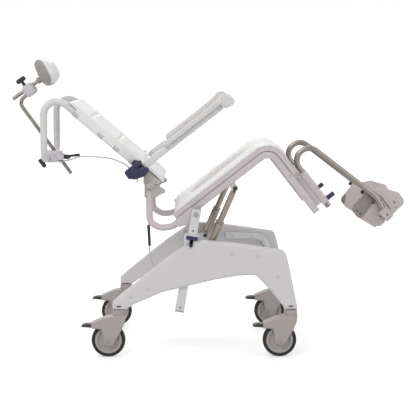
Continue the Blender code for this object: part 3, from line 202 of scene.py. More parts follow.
def finish_of(name, colour, rough, metal=0.0, grain=700.0, depth=0.05, mottle=0.03, spread=14.0, edge=0.0012,
              stretch=None, kind="noise", coat=0.0, sheen=0.0, speck=None, rough_vary=0.08):
    """A coated or metal surface: soft edges, grain in the bump, slow changes of colour and gloss."""
    made, tree, surface = nodes_of(name)
    link = tree.links.new
    place = add_node(tree, "ShaderNodeTexCoord")
    coords = place.outputs["Object"]
    if stretch:
        mapping = add_node(tree, "ShaderNodeMapping")
        mapping.inputs["Scale"].default_value = stretch
        link(coords, mapping.inputs["Vector"])
        fine_at = mapping.outputs["Vector"]
    else:
        fine_at = coords
    slow = add_node(tree, "ShaderNodeTexNoise", Scale=spread, Detail=4.0, Roughness=0.6)
    link(coords, slow.inputs["Vector"])
    ramp = ranged(tree, slow.outputs["Fac"], 1.0 - mottle, 1.0 + mottle * 0.5, 0.3, 0.7)
    tint = add_node(tree, "ShaderNodeMix", data_type="RGBA", blend_type="MULTIPLY")
    tint.inputs["Factor"].default_value = 1.0
    tint.inputs[6].default_value = (*colour, 1.0)
    link(ramp, tint.inputs[7])
    last = tint.outputs[2]
    if speck:
        dots = add_node(tree, "ShaderNodeTexNoise", Scale=speck[0], Detail=2.0)
        link(coords, dots.inputs["Vector"])
        over = add_node(tree, "ShaderNodeMix", data_type="RGBA", blend_type="MIX")
        link(ranged(tree, dots.outputs["Fac"], 0.0, speck[1], 0.60, 0.66), over.inputs["Factor"])
        link(last, over.inputs[6])
        over.inputs[7].default_value = (*speck[2], 1.0)
        last = over.outputs[2]
    link(last, surface.inputs["Base Color"])
    if kind == "noise":
        fine = add_node(tree, "ShaderNodeTexNoise", Scale=grain, Detail=3.0, Roughness=0.55)
        height = fine.outputs["Fac"]
    else:
        fine = add_node(tree, "ShaderNodeTexVoronoi", Scale=grain, feature="DISTANCE_TO_EDGE")
        height = fine.outputs["Distance"]
    link(fine_at, fine.inputs["Vector"])
    shine = ranged(tree, slow.outputs["Fac"], max(0.02, rough - rough_vary), min(1.0, rough + rough_vary))
    link(shine, surface.inputs["Roughness"])
    soften = add_node(tree, "ShaderNodeBevel", samples=4)
    soften.inputs["Radius"].default_value = edge
    bump = add_node(tree, "ShaderNodeBump", Strength=depth, Distance=0.0006)
    link(height, bump.inputs["Height"])
    link(soften.outputs["Normal"], bump.inputs["Normal"])
    link(bump.outputs["Normal"], surface.inputs["Normal"])
    surface.inputs["Metallic"].default_value = metal
    surface.inputs["Coat Weight"].default_value = coat
    surface.inputs["Coat Roughness"].default_value = 0.25
    surface.inputs["Sheen Weight"].default_value = sheen
    made.diffuse_color = (*colour, 1.0)
    return made


LOOK = {
    "frame_paint": finish_of(
        "powder_coat", (0.69, 0.685, 0.685), 0.36, grain=1300, depth=0.22, mottle=0.025, coat=0.15
    ),
    "panel": finish_of(
        "moulded_panel", (0.69, 0.67, 0.675), 0.42, grain=520, depth=0.10, mottle=0.03, spread=6, edge=0.003
    ),
    "upholstery": finish_of(
        "skinned_foam", (0.84, 0.83, 0.82), 0.58, grain=950, depth=0.30, mottle=0.04, spread=9,
        kind="cells", sheen=0.08
    ),
    "arm_foam": finish_of(
        "arm_pad_foam", (0.70, 0.68, 0.675), 0.62, grain=700, depth=0.10, mottle=0.04, spread=12, edge=0.002
    ),
    "navy": finish_of(
        "navy_plastic", (0.022, 0.021, 0.072), 0.42, grain=1100, depth=0.25, mottle=0.12, spread=40
    ),
    "grey": finish_of(
        "grey_plastic", (0.425, 0.385, 0.375), 0.46, grain=900, depth=0.3, mottle=0.06, spread=22,
        speck=(1500, 0.2, (0.52, 0.48, 0.47))
    ),
    "warm_grey": finish_of(
        "warm_grey_plastic", (0.53, 0.475, 0.465), 0.48, grain=900, depth=0.3, mottle=0.07, spread=25
    ),
    "black": finish_of(
        "black_plastic", (0.024, 0.024, 0.027), 0.44, grain=1000, depth=0.3, mottle=0.15, spread=30
    ),
    "tyre": finish_of(
        "tyre_rubber", (0.016, 0.015, 0.015), 0.75, grain=800, depth=0.45, mottle=0.22, spread=30,
        rough_vary=0.12
    ),
    "steel": finish_of(
        "brushed_steel", (0.28, 0.255, 0.235), 0.24, metal=1.0, grain=420, depth=0.12, mottle=0.10,
        spread=18, stretch=(1, 1, 9), rough_vary=0.10
    ),
    "foot": finish_of(
        "foot_plate_plastic", (0.55, 0.495, 0.485), 0.52, grain=650, depth=0.4, mottle=0.06, spread=16
    ),
    "hub": finish_of("wheel_disc", (0.43, 0.40, 0.385), 0.5, grain=900, depth=0.3, mottle=0.06, spread=30),
    # Painted shade: the white frame paint made darker and pinker, for the sides of the seat rails and the
    # cushion skirt, which lie in shade
    "shaded_rail": finish_of(
        "rail_painted_shade", (0.62, 0.56, 0.575), 0.40, grain=1300, depth=0.22, mottle=0.025, coat=0.12
    ),
    "pale": finish_of(
        "pale_housing", (0.66, 0.62, 0.655), 0.44, grain=900, depth=0.25, mottle=0.04, spread=25
    ),
    "gas_spring": finish_of(
        "gas_spring_metal", (0.34, 0.29, 0.25), 0.30, metal=1.0, grain=420, depth=0.1, mottle=0.1,
        stretch=(1, 1, 6)
    ),
    "bracket": finish_of(
        "foot_bracket", (0.285, 0.245, 0.215), 0.5, grain=900, depth=0.3, mottle=0.06, spread=25
    ),
    "zinc": finish_of(
        "zinc_plate", (0.60, 0.59, 0.57), 0.38, metal=1.0, grain=600, depth=0.2, mottle=0.12, spread=60
    ),
    # Painted shade: near black, laid where slots, holes and gaps lie in shade
    "hole_shade": finish_of("painted_recess_shade", (0.045, 0.042, 0.045), 0.8, grain=500, depth=0.1),
    "plug": finish_of(
        "cover_plug", (0.66, 0.645, 0.65), 0.5, grain=900, depth=0.15, mottle=0.03, spread=50
    ),
    "webbing": finish_of(
        "strap_webbing", (0.60, 0.595, 0.60), 0.85, grain=1400, depth=0.9, mottle=0.08, spread=60,
        stretch=(1, 0.22, 1), sheen=0.3
    ),
    "shell": finish_of(
        "head_shell", (0.36, 0.345, 0.33), 0.5, grain=900, depth=0.35, mottle=0.07, spread=20
    ),
    "cable": finish_of(
        "cable_jacket", (0.62, 0.60, 0.58), 0.45, grain=1500, depth=0.25, mottle=0.05, spread=60
    ),
    # Painted shade: dark grey for the grooves round the plugs and the seam of the head joint
    "line": finish_of("painted_crease_shade", (0.42, 0.41, 0.42), 0.6, grain=500, depth=0.1),
}


# Nodes whose finish in the photograph differs from the rest of their slot
OWN_LOOK = {"head_joint": "pale", "head_clamp": "pale", "lever_mount": "pale"}
for strut in ("strut_lower_R", "strut_lower_L", "strut_upper_R", "strut_upper_L"):
    OWN_LOOK[strut] = "gas_spring"


def dress_frame():
    """Gives every node of the frame the finish of its slot, or its own."""
    slots = {s["node"]: s["material_slot"] for s in frame["record"]["subparts"]}
    for name, obj in NODES.items():
        obj.data.materials.clear()
        obj.data.materials.append(LOOK[OWN_LOOK.get(name, slots[name])])
        obj.data.shade_smooth()
        obj.data.set_sharp_from_angle(angle=math.radians(42))


# Geometry helpers


def fillet(points, radius, closed=True, step=9.0):
    """Rounds the corners of a polygon or open line; radius is one value, or one for each corner."""
    made = []
    count = len(points)
    for i, here in enumerate(points):
        r = radius[i] if isinstance(radius, (list, tuple)) else radius
        if r <= 0 or (not closed and i in (0, count - 1)):
            made.append(tuple(here))
            continue
        p = Vector(here)
        a = Vector(points[i - 1]) - p
        b = Vector(points[(i + 1) % count]) - p
        turn = a.angle(b)
        if turn > math.pi - 0.02:
            made.append(tuple(here))
            continue
        off = min(r / math.tan(turn / 2), 0.48 * a.length, 0.48 * b.length)
        r = off * math.tan(turn / 2)
        a.normalize()
        b.normalize()
        centre = p + (a + b).normalized() * (r / math.sin(turn / 2))
        first = p + a * off - centre
        last = p + b * off - centre
        sweep_by = math.pi - turn
        steps = max(2, math.ceil(math.degrees(sweep_by) / step))
        for k in range(steps + 1):
            f = k / steps
            mixed = (
                first * math.sin((1 - f) * sweep_by) + last * math.sin(f * sweep_by)
            ) / math.sin(sweep_by)
            made.append(tuple(centre + mixed))
    return made


def piece(name, form, look, body, sharp=35, replaces=()):
    """Adds one finished piece that rides on a body; form is a bmesh, or a list of them to be joined."""
    bm = merge(*form) if isinstance(form, list) else form
    bmesh.ops.recalc_face_normals(bm, faces=bm.faces)
    mesh = bpy.data.meshes.new(name)
    bm.to_mesh(mesh)
    bm.free()
    made = bpy.data.objects.new(name, mesh)
    bpy.context.scene.collection.objects.link(made)
    mesh.materials.append(LOOK[look])
    mesh.shade_smooth()
    mesh.set_sharp_from_angle(angle=math.radians(sharp))
    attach(made, body)
    for node in replaces:
        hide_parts(node)
    return made


def lathe(profile, centre, axis, sides=32):
    """A turned piece: (radius, length) points about an axis through centre; open ends close on the axis."""
    bm = bmesh.new()
    turn = Vector((0, 0, 1)).rotation_difference(Vector(axis))
    rings = []
    for r, h in profile:
        if r <= 1e-7:
            rings.append([bm.verts.new(Vector(centre) + turn @ Vector((0, 0, h)))])
            continue
        ring = []
        for k in range(sides):
            a = 2 * math.pi * k / sides
            ring.append(bm.verts.new(Vector(centre) + turn @ Vector((r * math.cos(a), r * math.sin(a), h))))
        rings.append(ring)
    pairs = list(zip(rings, rings[1:]))
    if profile[0][0] > 1e-7:
        pairs.append((rings[-1], rings[0]))
    for one, two in pairs:
        for k in range(sides):
            j = (k + 1) % sides
            if len(one) == 1:
                bm.faces.new((one[0], two[j], two[k]))
            elif len(two) == 1:
                bm.faces.new((one[k], one[j], two[0]))
            else:
                bm.faces.new((one[k], one[j], two[j], two[k]))
    return bm


def skin(bm, rings):
    """Joins rings of equal counts into one closed skin with flat ends."""
    count = len(rings[0])
    for one, two in zip(rings, rings[1:]):
        for k in range(count):
            j = (k + 1) % count
            bm.faces.new((one[k], one[j], two[j], two[k]))
    bm.faces.new(rings[0][::-1])
    bm.faces.new(rings[-1])
    return bm


def tube(path, radius, sides=12):
    """A round tube along a path, with a frame that is carried from point to point without twist."""
    bm = bmesh.new()
    path = [Vector(p) for p in path]
    turns = [2 * math.pi * k / sides for k in range(sides)]
    rings = []
    side = None
    for i, here in enumerate(path):
        before = (here - path[i - 1]).normalized() if i else (path[1] - here).normalized()
        after = (path[i + 1] - here).normalized() if i < len(path) - 1 else before
        way = (before + after).normalized()
        if side is None:
            side = way.orthogonal().normalized()
        side = (side - way * side.dot(way)).normalized()
        other = way.cross(side)
        ring_of = [here + (side * math.cos(a) + other * math.sin(a)) * radius for a in turns]
        rings.append([bm.verts.new(p) for p in ring_of])
    return skin(bm, rings)


def box(centre, size, axes=None, edge=0.001, segments=2):
    """A box with soft edges; axes are its own x, y and z directions."""
    bm = bmesh.new()
    bmesh.ops.create_cube(bm, size=1.0)
    bmesh.ops.scale(bm, verts=bm.verts, vec=size)
    if edge:
        bmesh.ops.bevel(
            bm, geom=list(bm.edges), offset=edge, segments=segments, profile=0.5, affect="EDGES"
        )
    if axes:
        turn = Matrix((axes[0], axes[1], axes[2])).transposed()
        bmesh.ops.rotate(bm, verts=bm.verts, cent=(0, 0, 0), matrix=turn)
    bmesh.ops.translate(bm, verts=bm.verts, vec=centre)
    return bm


def merge(*parts):
    """Joins bmeshes into one and frees them."""
    bm = bmesh.new()
    for part in parts:
        mesh = bpy.data.meshes.new("part")
        part.to_mesh(mesh)
        part.free()
        bm.from_mesh(mesh)
        bpy.data.meshes.remove(mesh)
    return bm


def screw_head(centre, axis, radius=0.006, height=0.0022, recess=True):
    """A domed screw head with a hexagon socket, seated at centre and facing along axis."""
    dome = [(0, -0.0004), (radius, -0.0004), (radius, height * 0.35), (radius * 0.82, height * 0.85)]
    if recess:
        dome += [(radius * 0.52, height), (radius * 0.46, height * 0.25), (0, height * 0.25)]
    else:
        dome += [(radius * 0.4, height), (0, height)]
    return lathe(dome, centre, axis, 24)


def smooth_path(knots, per=8):
    """A smooth curve through all knots."""
    made = []
    knots = [Vector(k) for k in knots]
    for i in range(len(knots) - 1):
        p0, p1, p2 = knots[max(i - 1, 0)], knots[i], knots[i + 1]
        p3 = knots[min(i + 2, len(knots) - 1)]
        for k in range(per):
            t = k / per
            here = 2 * p1 + (p2 - p0) * t + (2 * p0 - 5 * p1 + 4 * p2 - p3) * t * t
            made.append(0.5 * (here + (3 * p1 - p0 - 3 * p2 + p3) * t ** 3))
    made.append(knots[-1])
    return made


# Soft pieces


def joined(points, faces):
    bm = bmesh.new()
    verts = [bm.verts.new(p) for p in points]
    for face in faces:
        bm.faces.new([verts[i] for i in face])
    bmesh.ops.recalc_face_normals(bm, faces=bm.faces)
    return bm


def slab(rows_up, rows_low):
    """A closed body between two grids of points with the same counts."""
    tall, wide = len(rows_up), len(rows_up[0])
    points = [p for row in rows_up for p in row] + [p for row in rows_low for p in row]
    low = tall * wide
    faces = []
    for i in range(tall - 1):
        for k in range(wide - 1):
            a, b = i * wide + k, (i + 1) * wide + k
            faces.append((a, a + 1, b + 1, b))
            faces.append((low + a, low + b, low + b + 1, low + a + 1))
    rim = [(0, k) for k in range(wide)] + [(i, wide - 1) for i in range(1, tall)]
    rim += [(tall - 1, k) for k in range(wide - 2, -1, -1)] + [(i, 0) for i in range(tall - 2, 0, -1)]
    for n, (i, k) in enumerate(rim):
        j, m = rim[(n + 1) % len(rim)]
        a, b = i * wide + k, j * wide + m
        faces.append((a, b, low + b, low + a))
    return joined(points, faces)


def apply_all(obj):
    """Turns what an object's modifiers make into its own mesh."""
    graph = bpy.context.evaluated_depsgraph_get()
    made = bpy.data.meshes.new_from_object(obj.evaluated_get(graph))
    obj.modifiers.clear()
    old = obj.data
    obj.data = made
    bpy.data.meshes.remove(old)


def linked(name, bm):
    """A plain object made of a bmesh, in the scene."""
    mesh = bpy.data.meshes.new(name)
    bm.to_mesh(mesh)
    bm.free()
    obj = bpy.data.objects.new(name, mesh)
    bpy.context.scene.collection.objects.link(obj)
    return obj


def carve(obj, cut):
    """Cuts a closed form out of an object."""
    tool = linked("tool", cut)
    made = obj.modifiers.new("cut", "BOOLEAN")
    made.operation = "DIFFERENCE"
    made.solver = "EXACT"
    made.object = tool
    apply_all(obj)
    bpy.data.objects.remove(tool)


def coordinates(mesh):
    flat = np.empty(len(mesh.vertices) * 3)
    mesh.vertices.foreach_get("co", flat)
    return flat.reshape(-1, 3)


def swell(obj, cap, hold):
    """Swells an object as cloth under pressure; the moves are evened out, capped and masked."""
    count = len(obj.data.vertices)
    before = coordinates(obj.data)
    cloth = obj.modifiers.new("cloth", "CLOTH")
    cloth.settings.quality = 5
    cloth.settings.mass = 0.3
    cloth.settings.use_pressure = True
    cloth.settings.uniform_pressure_force = 2.5
    cloth.settings.effector_weights.gravity = 0.0
    cloth.settings.tension_stiffness = 25
    cloth.settings.compression_stiffness = 25
    cloth.collision_settings.use_collision = False
    scene = bpy.context.scene
    for step in range(1, 21):
        scene.frame_set(step)
    graph = bpy.context.evaluated_depsgraph_get()
    after = coordinates(obj.evaluated_get(graph).data)
    obj.modifiers.clear()
    scene.frame_set(1)
    move = after - before
    ends = np.empty(len(obj.data.edges) * 2, dtype=np.int64)
    obj.data.edges.foreach_get("vertices", ends)
    one, two = ends[0::2], ends[1::2]
    share = np.maximum(1.0, np.bincount(one, minlength=count) + np.bincount(two, minlength=count))
    for _ in range(14):
        for axis in range(3):
            near = np.bincount(one, weights=move[two, axis], minlength=count)
            near = near + np.bincount(two, weights=move[one, axis], minlength=count)
            move[:, axis] = 0.35 * move[:, axis] + 0.65 * near / share
    size = np.linalg.norm(move, axis=1, keepdims=True)
    move *= np.minimum(1.0, cap / np.maximum(size, 1e-9))
    move *= np.array([hold(p) for p in before])[:, None]
    obj.data.vertices.foreach_set("co", (before + move).reshape(-1))
    obj.data.update()


def puffed(name, bm, look, voxel, cap, smooth, hold, cut=None):
    """Remeshes a closed form, swells it, and refines it once."""
    obj = linked(name, bm)
    if cut is not None:
        carve(obj, cut)
    remesh = obj.modifiers.new("remesh", "REMESH")
    remesh.mode = "VOXEL"
    remesh.voxel_size = voxel
    relax = obj.modifiers.new("relax", "SMOOTH")
    relax.factor = 0.5
    relax.iterations = smooth
    apply_all(obj)
    swell(obj, cap, hold)
    fine = obj.modifiers.new("fine", "SUBSURF")
    fine.levels = 1
    fine.render_levels = 1
    apply_all(obj)
    obj.data.materials.clear()
    obj.data.materials.append(LOOK[look])
    obj.data.shade_smooth()
    return obj


def padded(form, body, node):
    """Makes a soft form stand for a padded node of the frame."""
    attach(form, body)
    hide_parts(node)


def seat_place(p):
    """Seat-frame coordinates (u, w) of a world point."""
    d = Vector((p[0] - TILT_AXIS[0] - X_SHIFT, 0, p[2] - TILT_AXIS[1]))
    return d.dot(SEAT_U), d.dot(SEAT_W)


def opening():
    """The body that the commode opening takes out of the cushion, flared where it meets the top."""
    levels = (
        (SEAT_TOP - PAD_T - 0.02, 0.0), (SEAT_TOP - 0.006, 0.0), (SEAT_TOP - 0.001, 0.003),
        (SEAT_TOP + 0.004, 0.007), (SEAT_TOP + 0.03, 0.012),
    )
    sides = 96
    points = []
    for w, grow in levels:
        for k in range(sides):
            t = 2 * math.pi * k / sides
            squeeze = 1.0 - 0.16 * math.cos(t)
            u = OPENING_U + (OPENING_LONG + grow) * math.cos(t)
            points.append(seat_at(u, w, (OPENING_WIDE + grow) * math.sin(t) * squeeze))
    faces = []
    for r in range(len(levels) - 1):
        for k in range(sides):
            j = (k + 1) % sides
            faces.append((r * sides + k, r * sides + j, r * sides + sides + j, r * sides + sides + k))
    faces.append(tuple(range(sides - 1, -1, -1)))
    faces.append(tuple(range(len(points) - sides, len(points))))
    return joined(points, faces)


def seat_cushion():
    """The cushion, along the seat and down over the knee, with the commode opening."""
    top = fillet(
        [(SEAT_REAR, SEAT_TOP), (LEG_FRONT, SEAT_TOP), (LEG_FRONT, PAD_END)], [0, KNEE_R, 0], closed=False
    )
    floor_w, inner_u = SEAT_TOP - PAD_T, LEG_FRONT - PAD_T
    under = [(SEAT_REAR, floor_w), (inner_u, floor_w), (inner_u, PAD_END)]
    low = fillet(under, [0, KNEE_R - PAD_T, 0], closed=False)
    flat = 34
    upper = [(SEAT_REAR + (top[1][0] - SEAT_REAR) * k / flat, SEAT_TOP) for k in range(flat)] + top[1:-1]
    lower = [(SEAT_REAR + (low[1][0] - SEAT_REAR) * k / flat, SEAT_TOP - PAD_T) for k in range(flat)]
    lower += low[1:-1]
    for k in range(1, 9):
        f = k / 8
        upper.append((LEG_FRONT - 0.0026 - 0.0075 * f, top[-2][1] + (PAD_END - top[-2][1]) * f))
        lower.append((LEG_FRONT - PAD_T, low[-2][1] + (PAD_END - low[-2][1]) * f))
    wide = 45
    ups, lows = [], []
    count = len(upper)
    for i, (hi, lo) in enumerate(zip(upper, lower)):
        along = min(i, count - 1 - i) / 3.0
        tuck = 0.62 * max(0.0, 1 - along) ** 2
        row_up, row_low = [], []
        for k in range(wide):
            g = -math.cos(math.pi * k / (wide - 1))
            rim = max(0.0, (abs(g) - 0.945) / 0.055)
            drop = 0.36 * (1 - math.sqrt(max(0.0, 1 - rim * rim)))
            crown = 0.035 * (1 - abs(g) ** 2.2)
            d = min(0.80, drop + tuck) - crown * (1 - min(1.0, tuck * 2))
            u = hi[0] + (lo[0] - hi[0]) * d
            w = hi[1] + (lo[1] - hi[1]) * d
            row_up.append(seat_at(u, w, g * CUSHION_HALF))
            row_low.append(seat_at(*lo, g * (CUSHION_HALF - 0.004)))
        ups.append(row_up)
        lows.append(row_low)
    bm = slab(ups, lows)

    def hold(p):
        u, w = seat_place(p)
        flat_rest = clamp((w - floor_w - 0.006) / 0.006) if u < LEG_FRONT - KNEE_R else 1.0
        leg_rest = clamp((u - LEG_FRONT + PAD_T - 0.006) / 0.006) if w < SEAT_TOP - KNEE_R else 1.0
        low_rest = clamp((w + 0.055) / 0.035, 0.25)
        return min(flat_rest, leg_rest, low_rest)

    pad = puffed("seat_cushion_form", bm, "upholstery", 0.0050, 0.003, 6, hold, opening())
    padded(pad, "seat", "seat_cushion")


def back_pad():
    """The padded back: rounded at its rim, slightly crowned, with three channels."""
    t0, t1, half = 0.532, 0.985, 0.2215
    channels = (t0 + (t1 - t0) * 3 / 14, t0 + (t1 - t0) * 7 / 14, t0 + (t1 - t0) * 11 / 14)
    rear_n = 0.0125 + 0.0003
    rows, wide = 61, 45
    ups, lows = [], []
    for i in range(rows):
        t = t0 + (t1 - t0) * i / (rows - 1)
        end = min(t - t0, t1 - t) / 0.014
        round_end = quarter(end)
        row_up, row_low = [], []
        for k in range(wide):
            g = -math.cos(math.pi * k / (wide - 1))
            side = (1 - abs(g)) * half / 0.014
            round_side = quarter(side)
            crown = 0.0020 * (1 - g * g)
            thick = 0.0032 + (0.0058 + crown) * min(round_end, round_side)
            row_up.append(back_at(t, rear_n + thick - 0.0003, g * half))
            row_low.append(back_at(t, rear_n, g * half * 0.985))
        ups.append(row_up)
        lows.append(row_low)

    def hold(p):
        n = Vector((p[0] - X_SHIFT, 0, p[2])).dot(BACK_N) - BACK_OFFSET
        return clamp((n - rear_n - 0.003) / 0.004)

    pad = puffed("back_pad_form", slab(ups, lows), "upholstery", 0.0036, 0.002, 4, hold)
    press(pad, channels)
    padded(pad, "back", "back_pad")


def press(pad, channels):
    """Presses the sewn channels into the front of the back pad after it has been remeshed."""
    mesh = pad.data
    points = coordinates(mesh)
    local = points - np.array((X_SHIFT, 0, 0))
    t = local @ np.array(BACK_T)
    n = local @ np.array(BACK_N) - BACK_OFFSET
    front = np.clip((n - 0.0150) / 0.004, 0, 1)
    inside = np.clip((0.192 - np.abs(points[:, 1])) / 0.045, 0, 1)
    depth = np.zeros(len(points))
    for c in channels:
        groove = 0.0032 * np.exp(-(((t - c) / 0.0052) ** 2))
        ridge = 0.0009 * np.exp(-(((np.abs(t - c) - 0.017) / 0.011) ** 2))
        depth += groove - ridge
    move = depth * front * inside
    points -= move[:, None] * np.array(BACK_N)
    mesh.vertices.foreach_set("co", points.reshape(-1))
    mesh.update()


def arm_pads():
    """Firm moulded pads: one loft across each pad, rounded at both sides and slightly crowned on top."""
    low, high = ARM_W - 0.009, ARM_W + 0.009
    outline = [
        (0.062, high - 0.0012), (0.3200, high - 0.0012), (0.3200, low - 0.004), (0.350, low - 0.010),
        (0.366, low - 0.004), (0.362, high + 0.012), (0.344, high + 0.026), (0.312, high + 0.020),
        (0.250, high + 0.0175), (0.062, high + 0.0175)
    ]
    shape = fillet(outline, [0.0055, 0.0015, 0.0055, 0.01, 0.012, 0.02, 0.018, 0.05, 0.1, 0.0085], step=7)
    half, soft = 0.0255, 0.0075
    for tag, s in SIDES:
        bm = bmesh.new()
        rings = []
        for k in range(25):
            y = half * math.sin(math.pi / 2 * (-1 + 2 * k / 24))
            over = max(0.0, abs(y) - (half - soft)) / soft
            trim = 0.0052 * (1 - math.sqrt(max(0.0, 1 - over * over)))
            ring = []
            for u, w in inset_outline(shape, trim):
                crown = clamp((w - high - 0.006) / 0.010) * 0.0016 * ((y / half) ** 2)
                ring.append(bm.verts.new(seat_at(u, w - crown, s * ARM_Y + y)))
            rings.append(ring)
        bar = [
            (-0.041, low - 0.0008), (0.318, low - 0.0008), (0.318, high), (0.064, high),
            (0.040, high + 0.0062), (-0.034, high + 0.0062)
        ]
        bar = seat_all(fillet(bar, [0.009, 0.008, 0.006, 0.004, 0.012, 0.010], step=8))
        solid = extrude(bar, s * (ARM_Y - 0.012), s * (ARM_Y + 0.012), 0.0042)
        piece(f"arm_form_{tag}", solid, "frame_paint", f"arm_{tag}", replaces=[f"arm_{tag}"])
        pad = piece(f"arm_pad_form_{tag}", skin(bm, rings), "arm_foam", f"arm_{tag}", sharp=50,
                    replaces=[f"arm_pad_{tag}"])


def head_pad():
    """The foam of the head rest, curved round the head."""
    def grid(n_front, n_back, height, width, plump, rows=25, cols=37):
        ups, lows = [], []
        for i in range(rows):
            f = -math.cos(math.pi * i / (rows - 1))
            a, b = [], []
            for k in range(cols):
                g = -math.cos(math.pi * k / (cols - 1))
                round_off = math.sqrt(1 - 0.86 * abs(g) ** 5)
                y = g * width / 2
                v = f * height / 2 * round_off
                wrap = HEAD_WRAP * g * g
                near = min(1.0, min((1 - abs(f)) * height / 2, (1 - abs(g)) * width / 2) / 0.030)
                dome = quarter(near)
                fat = plump * (1 - f * f) * (1 - g * g)
                for n, into in ((n_back + (n_front - n_back) * (0.14 + 0.86 * dome) + fat, a), (n_back, b)):
                    p = HEAD_CENTRE + HEAD_FACE * (n + wrap) + HEAD_TALL * v
                    into.append(Vector((p.x + X_SHIFT, y, p.y)))
            ups.append(a)
            lows.append(b)
        return slab(ups, lows)

    def hold(p):
        d = Vector((p[0] - X_SHIFT, p[2])) - HEAD_CENTRE
        wrap = HEAD_WRAP * (p[1] / HEAD_HALF) ** 2
        return clamp((d.dot(HEAD_FACE) - wrap - 0.006) / 0.006)

    form = grid(0.024, 0.0004, 0.100, 0.226, 0.006)
    foam = puffed("head_foam_form", form, "upholstery", 0.0034, 0.003, 5, hold)
    padded(foam, "head_pad", "head_foam")


# Finer and smaller pieces


def moved(points):
    return [(x + X_SHIFT, z) for x, z in points]


def mirrored(near):
    """A path that goes on across the chair as its own mirror image."""
    return near + [Vector((p.x, -p.y, p.z)) for p in reversed(near)]


def seat_all(points):
    return [seat(u, w) for u, w in points]


def middle(node):
    """The middle of a node of the frame."""
    obj = NODES[node]
    return sum((obj.matrix_world @ Vector(c) for c in obj.bound_box), Vector()) / 8


def inset_outline(points, by):
    """Moves each edge of a polygon inward by a distance."""
    made = []
    count = len(points)
    area = 0.0
    for i in range(count):
        a, b = points[i], points[(i + 1) % count]
        area += a[0] * b[1] - b[0] * a[1]
    way = 1 if area > 0 else -1
    for i in range(count):
        p = Vector(points[i])
        a = (p - Vector(points[i - 1])).normalized()
        b = (Vector(points[(i + 1) % count]) - p).normalized()
        na, nb = Vector((-a.y, a.x)) * way, Vector((-b.y, b.x)) * way
        mid = (na + nb).normalized()
        made.append(tuple(p + mid * (by / max(0.5, mid.dot(na)))))
    return made


def extrude(outline, y0, y1, edge=0.0015):
    """A flat piece standing in the x-z plane between two values of y, with rounded rims."""
    y0, y1 = sorted((y0, y1))
    bm = bmesh.new()
    rings = []
    steps = ((y0, edge), (y0 + edge * 0.3, edge * 0.3), (y0 + edge, 0.0))
    steps += ((y1 - edge, 0.0), (y1 - edge * 0.3, edge * 0.3), (y1, edge))
    for y, trim in steps:
        rings.append([bm.verts.new((x, y, z)) for x, z in inset_outline(outline, trim)])
    return skin(bm, rings)


def rod(a, b, radius, sides=28, edge=0.0006):
    """A straight round bar with a small chamfer at both ends."""
    a, b = Vector(a), Vector(b)
    way = b - a
    length = way.length
    profile = [
        (0, 0), (radius - edge, 0), (radius, edge), (radius, length - edge), (radius - edge, length),
        (0, length)
    ]
    return lathe(profile, a, way, sides)


def ring(centre, axis, inner, outer, height, sides=36):
    """A flat ring with soft rims that stands on its centre and rises along axis."""
    soft = min(0.0006, height * 0.3)
    profile = [
        (inner, 0), (outer - soft, 0), (outer, soft), (outer, height - soft), (outer - soft, height),
        (inner, height)
    ]
    return lathe(profile, centre, axis, sides)


# Castors


def casters():
    """Tyres, hubs, axle caps, swivel covers and pedal tips."""
    half = [
        (0.0505, 0.0118), (0.0530, 0.0146), (0.0575, 0.0149), (0.0603, 0.0128), (0.0619, 0.0088),
        (0.0624, 0.0040), (0.0624, 0.0011), (0.0619, 0.0005)
    ]
    tread = [(r, -h) for r, h in half] + [(r, h) for r, h in reversed(half)]
    face = [
        (0.0, 0.0134), (0.0082, 0.0134), (0.0098, 0.0122), (0.0125, 0.0096), (0.0300, 0.0066),
        (0.0360, 0.0064), (0.0385, 0.0084), (0.0398, 0.0110), (0.0412, 0.0117), (0.0488, 0.0117),
        (0.0501, 0.0106)
    ]
    disc = face + [(r, -h) for r, h in reversed(face)]
    for tag in WHEELS:
        hub = middle(f"tyre_{tag}")
        wheel, caster = f"wheel_{tag}", f"caster_{tag}"
        piece(
            f"tyre_form_{tag}", lathe(tread, hub, ACROSS, 80), "tyre", wheel, replaces=[f"tyre_{tag}"],
        )
        parts = [lathe(disc, hub, ACROSS, 64)]
        for k in range(6):
            a = math.pi / 3 * k
            way = Vector((math.cos(a), 0, math.sin(a)))
            own = (way, ACROSS, way.cross(ACROSS))
            parts.append(box(hub + way * 0.0245, (0.026, 0.0158, 0.0030), own, 0.0008))
        piece(f"hub_form_{tag}", parts, "hub", wheel, sharp=25, replaces=[f"hub_{tag}"])
        stem = Vector((hub.x + TRAIL, hub.y, 0))
        caps = []
        for s in (-1, 1):
            caps.append(screw_head(hub + ACROSS * s * 0.0284, ACROSS * s, 0.0062, 0.0016))
        piece(f"axle_caps_{tag}", caps, "grey", caster)
        # Painted shade: a near-black band in the gap below each swivel cover
        gap_shade = ring(stem + UP * 0.1520, UP, 0.0200, 0.0246, 0.0022, 48)
        piece(f"swivel_gap_shade_{tag}", gap_shade, "hole_shade", caster)
        cover = ring(stem + UP * 0.1580, UP, 0.0200, 0.0247, 0.0105, 48)
        piece(f"swivel_cover_{tag}", cover, "grey", caster)
        tip = [
            (-0.1290, 0.1218), (-0.1378, 0.1192), (-0.1400, 0.1150), (-0.1370, 0.1135), (-0.1270, 0.1118)
        ]
        tip = fillet([(stem.x + dx, z) for dx, z in tip], 0.0018, step=20)
        parts = [extrude(tip, hub.y - 0.0172, hub.y + 0.0172, 0.0012)]
        for k in range(3):
            at_x = stem.x - 0.1160 - 0.0045 * k
            parts.append(box((at_x, hub.y, 0.1231 - 0.0003 * k), (0.0018, 0.026, 0.0016), None, 0.0005))
        piece(f"pedal_tip_{tag}", parts, "black", f"brake_{tag}")
        lines = []
        for k in range(3):
            here = (stem.x - 0.1045 - 0.004 * k, hub.y, 0.1243 - 0.0003 * k)
            lines.append(box(here, (0.0014, 0.024, 0.0012), None, 0.0004))
        piece(f"pedal_ridges_{tag}", lines, "grey", f"brake_{tag}")


# Base


